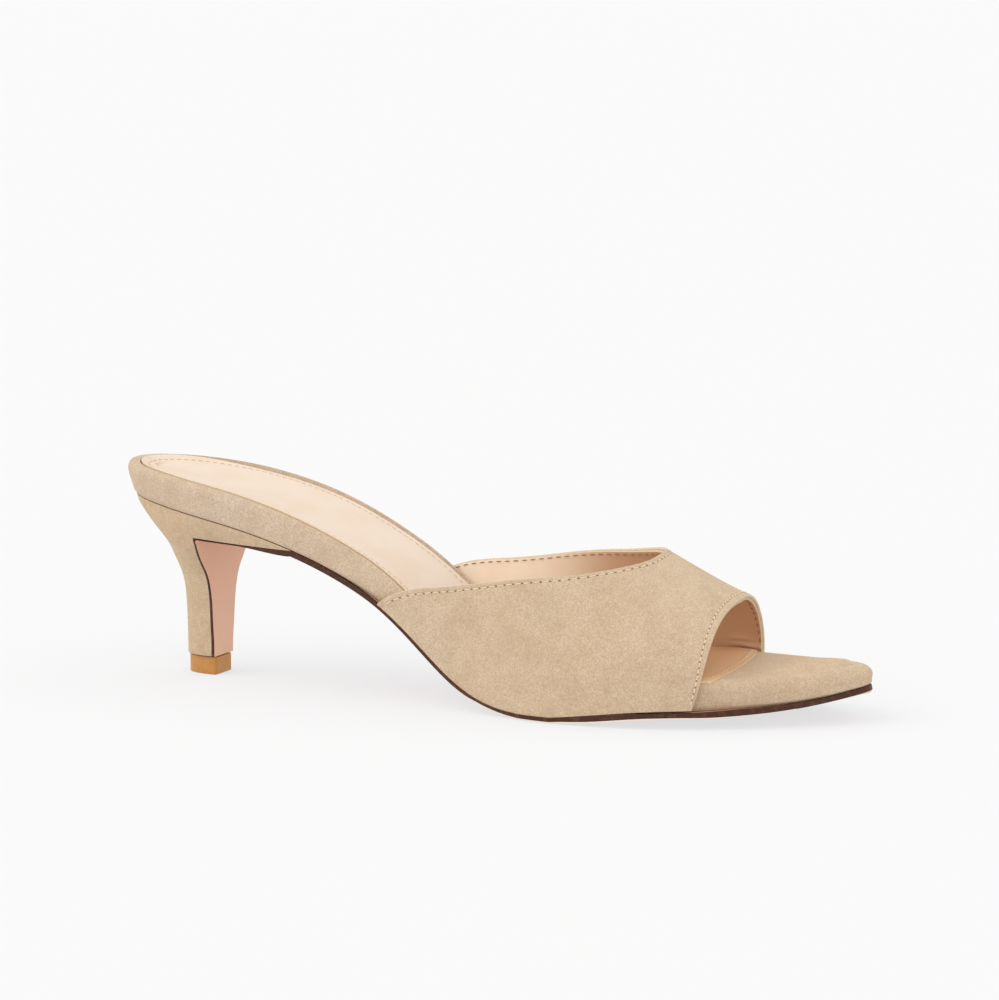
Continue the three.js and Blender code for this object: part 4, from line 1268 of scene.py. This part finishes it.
        # The loop starts in the middle of the collar's nose, so that its halves face each other
        ring = collar[3:] + outside + toe[:2] + toe[3:] + inside[::-1] + collar[:2]
        paint = np.zeros(len(ring), int)
        count = len(outside)
        paint[:2] = 1
        paint[1 + count : 1 + count + 5] = 1
        paint[-3:] = 1
        return np.stack(ring, 1), paint

    def build(self) -> list[Piece]:
        """Builds the suede, the lining and the topstitching."""
        made = []
        draft = Draft()
        loops, paint = self._shell(0.0, self.suede, 0.22, 0.22, inner=False)
        draft.loop(loops, paint)
        suede = draft.piece("vamp_suede", [Shade.SUEDE.made, Shade.SUEDE_EDGE.made])
        made.append(place(suede, Slot.SUEDE, "vamp"))
        draft = Draft()
        start = self.suede + 0.03
        loops, paint = self._shell(start, self.lining, 0.16, 0.3, inner=True)
        draft.loop(loops, paint)
        lining = draft.piece("vamp_lining", [Shade.LINING.made, Shade.SUEDE_EDGE.made])
        made.append(place(lining, Slot.SOCK, "vamp"))
        made += self._stitches()
        return made

    def _seam(self, toe: bool, inner: bool) -> Line:
        """Returns the line of a row of stitches.

        Args:
            toe: whether it runs along the toe edge instead of the collar.
            inner: whether it is seen on the lining.

        Returns:
            The line, from the lateral to the medial foot of the wall.
        """
        t = np.linspace(0.003, 0.997, 900)
        lengths = self._lengths(t)
        a = 1 - (self._toe_margin(t) - 0.7 * inner) / lengths if toe else self._collar_margin(t) / lengths
        p, n = self._outer(a, t), self._normal(a, t)
        if inner:
            depth = self.suede + 0.03 + self.lining + 0.1
            return Line(p - n * depth, -n)
        relief = self._relief(a, t, a * lengths, (1 - a) * lengths)
        return Line(p + n * relief[:, None], n)

    def _stitches(self) -> list[Piece]:
        """Sews both rows of topstitching, seen on the suede and on the lining."""
        threads, hole_shades, lining = Draft(), Draft(), Draft()
        collar = StitchRow(pitch=2.8, stitch=2.1, thread=0.46, hole=0.7, rise=0.1, start=0.5)
        toe = StitchRow(pitch=1.9, stitch=1.5, thread=0.5, hole=0.55, rise=0.12, start=1.0)
        collar.sew(threads, self._seam(toe=False, inner=False), hole_shades)
        toe.sew(threads, self._seam(toe=True, inner=False), hole_shades)
        # On the lining the thread takes the darker finish: painted shade
        back = StitchRow(pitch=2.7, stitch=1.6, thread=0.32, rise=0.07)
        back.sew(lining, self._seam(toe=False, inner=True))
        back.sew(lining, self._seam(toe=True, inner=True))
        return [
            threads.piece("vamp_thread", [Shade.THREAD.made]),
            hole_shades.piece("vamp_needle_hole_shades", [Shade.HOLE.made]),
            lining.piece("lining_thread", [Shade.LINING_THREAD.made]),
        ]


@dataclass
class Heel:
    """Suede covered kitten heel: a stem under the seat and a wing under the arch."""

    form: ShoeForm
    breast_x: float = 30.6
    breast_lean: float = 0.7
    breast_top: float = 44.6
    breast_half_width: float = 19.2
    lift_height: float = 5.5
    corner_fade: float = 0.3
    corner_share: float = 0.75
    turned: float = 0.55  # radius where the suede turns under at the tip
    tip_half: float = 5.5  # half width of the stem that the turned edge shrinks
    seam: float = 0.2  # open seam under the footbed
    # height as a share of the seat's, half width as a share of the breast's, depth as a share of
    # the breast's distance from the back
    stem: tuple = (
        (0.09, 0.333, 0.372), (0.18, 0.338, 0.374), (0.28, 0.37, 0.375), (0.4, 0.405, 0.382),
        (0.5, 0.47, 0.396), (0.58, 0.585, 0.426), (0.66, 0.78, 0.467), (0.74, 0.93, 0.526),
        (0.79, 1.0, 0.602), (0.85, 1.06, 0.712), (0.91, 1.1, 0.82), (0.96, 1.12, 0.892), (1.0, 1.14, 0.914),
    )  # fmt: skip

    def __post_init__(self) -> None:
        """Makes the splines and the seat's outline."""
        self._half, self._depth = columns(self.stem)
        form = self.form
        self._seat = {
            side: InsetEdge(form, side, lambda at: form.seat_draft(at) + form.gap)
            for side in (LATERAL, MEDIAL)
        }
        self.wing_tip_x = form.wing_tip * form.length
        self.wing_tip_z = float(self.top_z(np.array(self.wing_tip_x)))
        self.bottom = self.lift_height + form.gap

    def stem_half(self, z: Array) -> Array:
        """Returns the stem's half width at a height."""
        return self.breast_half_width * self._half(z / self.form.seat_height)

    def face_x(self, z: Array) -> Array:
        """Returns the x of the stem's front face."""
        return self.breast_x - self.breast_lean * np.clip(1 - z / self.breast_top, 0, 1)

    def back_x(self, z: Array) -> Array:
        """Returns the x of the stem's back."""
        return self.breast_x * (1 - self._depth(z / self.form.seat_height))

    def top_z(self, x: Array) -> Array:
        """Returns the height of the heel's top under the footbed."""
        return self.form.feather_z(x / self.form.length) - self.seam

    def wing_half(self, x: Array, side: int) -> Array:
        """Returns the half width of the wing's lower edge."""
        share = np.clip((x - self.breast_x) / (self.wing_tip_x - self.breast_x), 0, 1)
        tip = abs(float(self._seat[side].y(np.array(self.wing_tip_x))))
        return lerp(self.breast_half_width, tip, np.sin(np.pi / 2 * share))

    def wing_z(self, x: Array) -> Array:
        """Returns the height of the wing's lower edge."""
        share = np.clip((x - self.breast_x) / (self.wing_tip_x - self.breast_x), 0, 1)
        return lerp(self.breast_top, self.wing_tip_z, share)

    def _wall_half(self, x: Array, z: Array, side: int) -> Array:
        """Returns the half width of the heel's wall."""
        seat = self._seat[side]
        low = self.wing_z(x)
        climb = np.clip((z - low) / np.maximum(self.top_z(x) - low, self.form.gap), 0, 1)
        flare = np.sin(np.pi / 2 * climb)
        wing = lerp(self.wing_half(x, side), np.abs(seat.y(x)), flare)
        front, back = self.face_x(z), self.back_x(z)
        behind = np.clip((front - x) / (front - back), 0, 1)
        bow = np.sqrt(1 - behind**2)
        seat_round = np.abs(seat.y(lerp(front, seat.start, behind)))
        corner = lerp(self.stem_half(np.minimum(z, self.breast_top)) * bow, seat_round, flare)
        plain = lerp(self.stem_half(z) * bow, seat_round, smooth(climb))
        stem = lerp(corner, plain, np.clip(behind / self.corner_fade, 0, 1))
        return np.where(x > self.breast_x, wing, stem)

    def _stem_wall(self, turn: Array, up: Array, side: int) -> Array:
        """Returns points of the stem's wall.

        Args:
            turn: from 0 at the middle of the back to 1 at the front edge.
            up: from 0 at the tip to 1 at the seat.
            side: LATERAL or MEDIAL.

        Returns:
            The points.
        """
        start = self._seat[side].start
        back_z = lerp(self.bottom, self.top_z(start), up)
        back_x = np.where(up >= 1, start, self.back_x(back_z))
        above = np.clip((up - self.corner_share) / (1 - self.corner_share), 0, 1)
        stem_z = lerp(self.bottom, self.breast_top, np.clip(up / self.corner_share, 0, 1))
        front_z = lerp(stem_z, self.top_z(np.array(self.breast_x)), above)
        front_x = self.face_x(front_z)
        share = 1 - np.cos(np.pi / 2 * turn)
        x = lerp(back_x, front_x, share)
        chord = lerp(self.top_z(start), self.top_z(front_x), share)
        z = lerp(back_z, front_z, share) + up**3 * (self.top_z(x) - chord)
        half = np.where(turn == 0, 0.0, self._wall_half(x, z, side))
        # The suede turns under round a small radius at the tip
        low = np.clip(1 - (z - self.bottom) / self.turned, 0, 1)
        tuck = self.turned * (1 - np.sqrt(1 - low**2))
        middle = lerp(back_x, front_x, 0.55)
        shrink = 1 - tuck / self.tip_half
        return np.stack([lerp(middle, x, shrink), side * half * shrink, z], -1)

    def _wing_wall(self, out: Array, up: Array, side: int) -> Array:
        """Returns points of the wing's wall, from the stem's corner to its tip."""
        x = lerp(self.breast_x, self.wing_tip_x, out)
        above = np.clip((up - self.corner_share) / (1 - self.corner_share), 0, 1)
        z = lerp(self.wing_z(x), self.top_z(x), above)
        return np.stack([x, side * self._wall_half(x, z, side), z], -1)

    def build(self) -> Piece:
        """Builds the covered heel."""
        turns, outs, ups = 44, 40, 96
        low = np.array([0, 0.002, 0.005, 0.009])
        up = np.concatenate([low, even(ups)[2:]])
        corner = int(np.searchsorted(up, self.corner_share - 1e-9))
        u, r = np.meshgrid(up, even(turns), indexing="ij")
        wu, wo = np.meshgrid(up[corner:], even(outs), indexing="ij")
        draft = Draft()
        walls = {}
        for side in (LATERAL, MEDIAL):
            stem = draft.points(self._stem_wall(r, u, side))
            wing = draft.points(self._wing_wall(wo, wu, side))
            draft.skin(stem)
            draft.skin(wing)
            walls[side] = stem, wing
        (stem_l, wing_l), (stem_m, wing_m) = walls[LATERAL], walls[MEDIAL]
        draft.skin(np.stack([stem_l[: corner + 1, -1], stem_m[: corner + 1, -1]]))
        draft.skin(np.stack([wing_l[0], wing_m[0]]))
        draft.skin(np.stack([stem_l[0], stem_m[0]]))
        draft.skin(np.stack([stem_l[-1], stem_m[-1]]))
        draft.skin(np.stack([wing_l[-1], wing_m[-1]]))
        return place(draft.piece("heel_cover", [Shade.HEEL_SUEDE.made]), Slot.SUEDE, "heel_block")


@dataclass
class HeelTip:
    """Hard top piece nailed under the stem."""

    form: ShoeForm
    heel: Heel
    back_inset: float = 0.5
    side_inset: float = 1.1
    breast_thickness: float = 0.9
    corner: float = 1.1
    foot: tuple = ((0.5, 0.0), (0.22, 0.08), (0.06, 0.25), (0.0, 0.5))  # inset and height
    top: tuple = ((0.0, 0.25), (0.08, 0.07), (0.25, 0.0))  # inset and depth below the top

    def build(self) -> Piece:
        """Builds the tip."""
        height = self.heel.lift_height
        z = np.array(height)
        half = float(self.heel.stem_half(z)) - self.side_inset
        face = float(self.heel.face_x(z))
        front = face + self.form.gap + self.breast_thickness
        depth = face - float(self.heel.back_x(z)) - self.back_inset
        angles = np.linspace(0, np.pi, 41)
        back = np.stack([face - depth * np.sin(angles), half * np.cos(angles)], -1)
        rounding = []
        corners = (
            ((front - self.corner, -half + self.corner), (-90, 0)),
            ((front - self.corner, half - self.corner), (0, 90)),
        )
        for centre, sweep in corners:
            turn = np.radians(np.linspace(*sweep, 9))
            rounding.append(np.array(centre) + self.corner * np.stack([np.cos(turn), np.sin(turn)], -1))
        outline = np.concatenate([back, *rounding])
        outline = outline[np.linalg.norm(outline - np.roll(outline, 1, 0), axis=1) > 0.02]
        run = np.roll(outline, -1, 0) - np.roll(outline, 1, 0)
        normal = np.stack([run[:, 1], -run[:, 0]], -1) / np.linalg.norm(run, axis=1, keepdims=True)
        centre = outline.mean(0)
        normal *= np.sign(np.sum(normal * (outline - centre), 1, keepdims=True))
        levels = (*self.foot, *((inset, height - below) for inset, below in self.top))
        rings = []
        for inset, level in levels:
            rings.append(np.column_stack([outline - normal * inset, np.full(len(outline), level)]))
        draft = Draft()
        index = draft.points(np.stack(rings))
        draft.skin(np.concatenate([index, index[:, :1]], 1))
        draft.fill(index[0][::-1])
        draft.fill(index[-1])
        return place(draft.piece("heel_tip", [Shade.TIP.made]), Slot.TIP, "top_lift")


@dataclass
class Outsole:
    """Leather sole from the toe under the arch, turned down the front of the heel."""

    form: ShoeForm
    heel: Heel
    thickness: float = 2.7
    breast: float = 0.9
    fillet: float = 0.9
    corner: float = 0.6
    room: float = 2.3  # the vamp's room and the welt
    pared: float = 0.625
    rows: int = 220
    draft: float = 0.35
    chamfer: float = 0.75  # bevel of the worn face, left bare under the forefoot
    fine: float = 0.12  # and where it is painted, under the arch and down the breast
    bare_from: float = 0.52  # station where the bare bevel starts
    bare_full: float = 0.78  # station up to which it is bare in full
    bare_to: float = 0.93  # and station where it ends, short of the toe tip
    closed: float = 0.24  # how much of the gap under the footbed the paint fills
    tip_from: float = 0.79  # station where the edge gets fuller towards the toe tip
    tip_depth: float = 0.4
    skived: float = 0.32  # thickness where the sole bends down the breast
    flap_end: float = 0.65  # thickness at the foot of the breast
    # station, margin as a share of the room, thickness and belly as shares of the thickness
    table: tuple = (
        (0.0, -0.25, 0.69, 0.3), (0.276, -0.25, 0.69, 0.3), (0.34, 0.0, 0.61, 0.35), (0.42, 0.8, 0.44, 0.45),
        (0.5, 1.0, 0.41, 0.45), (0.56, 1.0, 0.5, 0.3), (0.6, 1.0, 0.7, 0.05), (0.63, 1.0, 0.75, 0.0),
        (0.66, 1.0, 0.8, 0.0), (0.69, 1.0, 0.94, 0.0), (0.75, 1.0, 1.0, 0.0), (0.82, 0.95, 0.93, 0.0),
        (0.88, 0.5, 0.75, 0.1), (0.94, 0.2, 0.58, 0.2), (1.0, -0.15, 0.52, 0.2),
    )  # fmt: skip

    def __post_init__(self) -> None:
        """Makes the splines."""
        self._margin, self._thick, self._belly = columns(self.table)

    def _levels(self, thick: Array, bare: Array) -> list[tuple[Array, Array]]:
        """Makes the edge's profile.

        Args:
            thick: the sole's thickness.
            bare: 1 under the forefoot and 0 where the bevel is fine and painted.

        Returns:
            Inset and share of the way from the glued to the worn face, level by level.
        """
        bevel = np.minimum(lerp(self.fine, self.chamfer, bare), 0.35 * thick)
        draft = self.draft * bare
        share = bevel / thick
        return [
            (1.4 + 0 * thick, 0 * thick),
            (0.1 + 0 * thick, 0 * thick),
            (0 * thick, 0.06 + 0 * thick),
            (0 * thick, 0.35 + 0 * thick),
            (0.4 * draft + 0 * thick, (1 - share) * 0.8),
            (draft + 0 * thick, 1 - share),
            (draft + 0.5 * bevel, 1 - 0.42 * share),
            (draft + 1.1 * bevel, 1 - 0.1 * share),
            (draft + 1.7 * bevel, 1 + 0 * thick),
        ]

    def _bare(self, at: Array) -> Array:
        """Returns 1 where the bevel is bare, fading to 0 under the arch and at the toe tip."""
        fade = smooth((at - self.bare_full) / (self.bare_to - self.bare_full))
        return smooth((at - self.bare_from) / 0.05) * (1 - fade)

    def _forefoot(self) -> tuple[Array, Array, Array]:
        """Returns edge profiles of both sides and the belly, from the toe to the wing's tip."""
        form = self.form
        t = even(self.rows)
        share = lerp(1.0, form.wing_tip, lerp(1 - np.cos(np.pi / 2 * t), t, t))
        made = []
        for side in (LATERAL, MEDIAL):
            profile = []
            for k in range(len(self._levels(share, share))):
                def inset(at: Array, k: int = k) -> Array:
                    """Returns this level's distance inside the footbed's outline."""
                    thick = self._thick(at) * self.thickness - form.gap
                    room = np.minimum(1.0, (1 - at) / 0.02 + 0.35)
                    return -self.room * self._margin(at) + self._levels(thick, self._bare(at))[k][0] * room

                edge = InsetEdge(form, side, inset)
                x = lerp(edge.start, edge.end, share)
                y = np.where(share == 1, form.centre_y(np.array(1.0)), edge.y(x))
                at = x / form.length
                glue = form.feather_z(at) - form.gap + self.closed - form.sag(at)
                slope = form.feather_slope(x)
                thick = self._thick(at) * self.thickness - form.gap + self.closed - form.sag(at)
                thick = thick + self.tip_depth * smooth((at - self.tip_from) / 0.06)
                run = thick * self._levels(thick, self._bare(at))[k][1] / np.hypot(1, slope)
                profile.append(np.stack([x + slope * run, y, np.maximum(glue - run, 0)], -1))
            made.append(np.stack(profile, 1))
        belly = np.maximum(self._belly(share), 0) * self.thickness
        belly[0] = 0
        return made[0], made[1], belly

    def _level_rungs(self) -> tuple[Array, Array, Array]:
        """Returns edge profiles and belly under the wing, round the fillet and down the breast."""
        form, heel = self.form, self.heel
        fillet_x = heel.breast_x + form.gap + self.breast + self.fillet
        full = float(self._thick(np.array(form.wing_tip))) * self.thickness - form.gap
        rungs = []  # glued x, z, half widths; worn x, z, half widths; belly
        for share in even(26)[1:]:
            x = lerp(heel.wing_tip_x, fillet_x, share)
            z = float(heel.wing_z(np.array(x))) - form.gap + self.closed * (1 - share)
            half = [float(heel.wing_half(np.array(x), side)) for side in (LATERAL, MEDIAL)]
            thick = float(lerp(full + self.closed, self.skived, smooth(share / self.pared)))
            belly = float(self._belly(np.array(form.wing_tip))) * self.thickness * (1 - share)
            rungs.append((x, z, half, x, z - thick, half, belly))
        corner_z = float(heel.wing_z(np.array(heel.breast_x))) - form.gap
        glued_x = float(heel.face_x(np.array(heel.breast_top))) + form.gap
        for i in range(1, 13):
            angle = math.pi / 2 * (1 + i / 12)
            gx = glued_x + self.corner * (1 + math.cos(angle))
            gz = corner_z - self.corner * (1 - math.sin(angle))
            wx = glued_x + self.skived + self.fillet * (1 + math.cos(angle))
            wz = corner_z - self.skived - self.fillet * (1 - math.sin(angle))
            worn_half = min(heel.breast_half_width, float(heel.stem_half(np.array(wz))) + form.gap)
            rungs.append((gx, gz, [heel.breast_half_width] * 2, wx, wz, [worn_half] * 2, 0.0))
        top = corner_z - self.skived - self.fillet
        for share in even(60)[1:]:
            z = float(lerp(top, heel.bottom, share))
            x = float(heel.face_x(np.array(z))) + form.gap
            half = [float(heel.stem_half(np.array(z)))] * 2
            thick = float(lerp(self.skived, self.flap_end, share))
            rungs.append((x, z, half, x + thick, z, half, 0.0))
        sides = ([], [])
        for gx, gz, ghalf, wx, wz, whalf, _ in rungs:
            thick = math.hypot(wx - gx, wz - gz)
            for k, side in enumerate((LATERAL, MEDIAL)):
                row = []
                for inset, share in self._levels(np.array([thick]), np.zeros(1)):
                    y = lerp(ghalf[k], whalf[k], share[0]) - inset[0]
                    row.append([lerp(gx, wx, share[0]), side * y, lerp(gz, wz, share[0])])
                sides[k].append(row)
        return np.array(sides[0]), np.array(sides[1]), np.array([r[-1] for r in rungs])

    def build(self) -> Piece:
        """Builds the sole."""
        fore, rest = self._forefoot(), self._level_rungs()
        lateral, medial = (np.concatenate([fore[k], rest[k]]) for k in (0, 1))
        belly = np.concatenate([fore[2], rest[2]])
        inside = 17
        worn = []
        for t in even(inside)[1:-1]:
            p = lerp(lateral[:, -1], medial[:, -1], t)
            p[:, 2] = np.maximum(p[:, 2] - 4 * t * (1 - t) * belly, 0)
            worn.append(p)
        glued = [lerp(lateral[:, 0], medial[:, 0], t) for t in even(inside)[1:-1]]
        ring = [*glued, *np.moveaxis(medial, 1, 0), *worn[::-1], *np.moveaxis(lateral, 1, 0)[::-1]]
        inner = len(glued)
        paint = []
        for row in range(len(lateral) - 1):
            at = lateral[row, 0, 0] / self.form.length
            bare = row < len(fore[0]) and self.bare_from < at < self.bare_to
            # Bare bevels take the sanded finish, whose near white is partly a painted highlight
            edge = [1] * 5 + [2 if bare else 1] * (lateral.shape[1] - 6)
            paint.append([0] * inner + edge + [0] * (inner + 1) + edge[::-1] + [0])
        draft = Draft()
        index = draft.points(np.stack(ring, 1))
        draft.skin(np.concatenate([index, index[:, :1]], 1), np.array(paint))
        draft.fill(index[-1])
        piece = draft.piece("sole", [Shade.SOLE.made, Shade.PAINT.made, Shade.BEVEL.made], sharp=30)
        return place(piece, Slot.SOLE, "outsole")


# The stage


@dataclass(frozen=True)
class View:
    """The photograph's camera, in millimetres and degrees in the part's frame."""

    location: tuple[float, float, float] = (572.298, -1262.749, 259.719)
    aim: tuple[float, float, float] = (1.785, 4.684, 58.629)
    roll: float = 0.17
    lens: float = 168.418

    def build(self) -> None:
        """Makes the camera."""
        data = bpy.data.cameras.new("camera")
        data.lens, data.sensor_width = self.lens, 36.0
        data.clip_start, data.clip_end = 0.05, 60.0
        camera = bpy.data.objects.new("camera", data)
        location, aim = Vector(self.location) * MM, Vector(self.aim) * MM
        camera.location = location
        camera.rotation_mode = "QUATERNION"
        look = (aim - location).to_track_quat("-Z", "Y")
        camera.rotation_quaternion = look @ Quaternion((0, 0, 1), math.radians(self.roll))
        bpy.context.scene.collection.objects.link(camera)
        bpy.context.scene.camera = camera


@dataclass(frozen=True)
class SoftLight:
    """A large far soft light. Azimuth 0 stands in front of the shoe's near side."""

    name: str
    azimuth: float
    elevation: float
    strength: float
    spread: float

    def build(self) -> None:
        """Makes the light."""
        data = bpy.data.lights.new(self.name, "SUN")
        data.energy, data.angle = self.strength, math.radians(self.spread)
        light = bpy.data.objects.new(self.name, data)
        a, e = math.radians(self.azimuth), math.radians(self.elevation)
        back = Vector((math.sin(a) * math.cos(e), -math.cos(a) * math.cos(e), math.sin(e)))
        light.rotation_mode = "QUATERNION"
        light.rotation_quaternion = (-back).to_track_quat("-Z", "Y")
        bpy.context.scene.collection.objects.link(light)


@dataclass(frozen=True)
class Studio:
    """White table, even room light and soft lights."""

    room: float = 0.84
    table: float = 40.0  # side of the table in metres, past the edge of the picture
    lights: tuple[SoftLight, ...] = (
        SoftLight("overhead", azimuth=150, elevation=80, strength=0.2, spread=100),
        SoftLight("front_left", azimuth=-48, elevation=36, strength=1.15, spread=70),
        SoftLight("front_right", azimuth=45, elevation=28, strength=0.45, spread=80),
        SoftLight("back_right", azimuth=120, elevation=35, strength=0.3, spread=70),
    )

    def build(self) -> None:
        """Makes the floor, the lights and the camera."""
        side = self.table / 2
        mesh = bpy.data.meshes.new("table")
        corners = [(-side, -side, 0), (side, -side, 0), (side, side, 0), (-side, side, 0)]
        mesh.from_pydata(corners, [], [(0, 1, 2, 3)])
        mesh.materials.append(Shade.TABLE.made)
        table = bpy.data.objects.new("table", mesh)
        bpy.context.scene.collection.objects.link(table)
        world = bpy.data.worlds.new("room")
        world.use_nodes = True
        background = world.node_tree.nodes["Background"]
        background.inputs["Color"].default_value = srgb("ffffff")
        background.inputs["Strength"].default_value = self.room
        bpy.context.scene.world = world
        for light in self.lights:
            light.build()
        View().build()
        bpy.context.scene.view_settings.view_transform = "Standard"


def main() -> None:
    """Builds the shoe and its stage in order."""
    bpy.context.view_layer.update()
    form = ShoeForm()
    heel = Heel(form)
    for assembly in (Footbed(form), Sock(form), Vamp(form), heel, HeelTip(form, heel), Outsole(form, heel)):
        LOG.info("building %s", type(assembly).__name__)
        assembly.build()
    Studio().build()


if __name__ == "__main__":
    logging.basicConfig(level=logging.INFO, format="%(message)s")
    main()
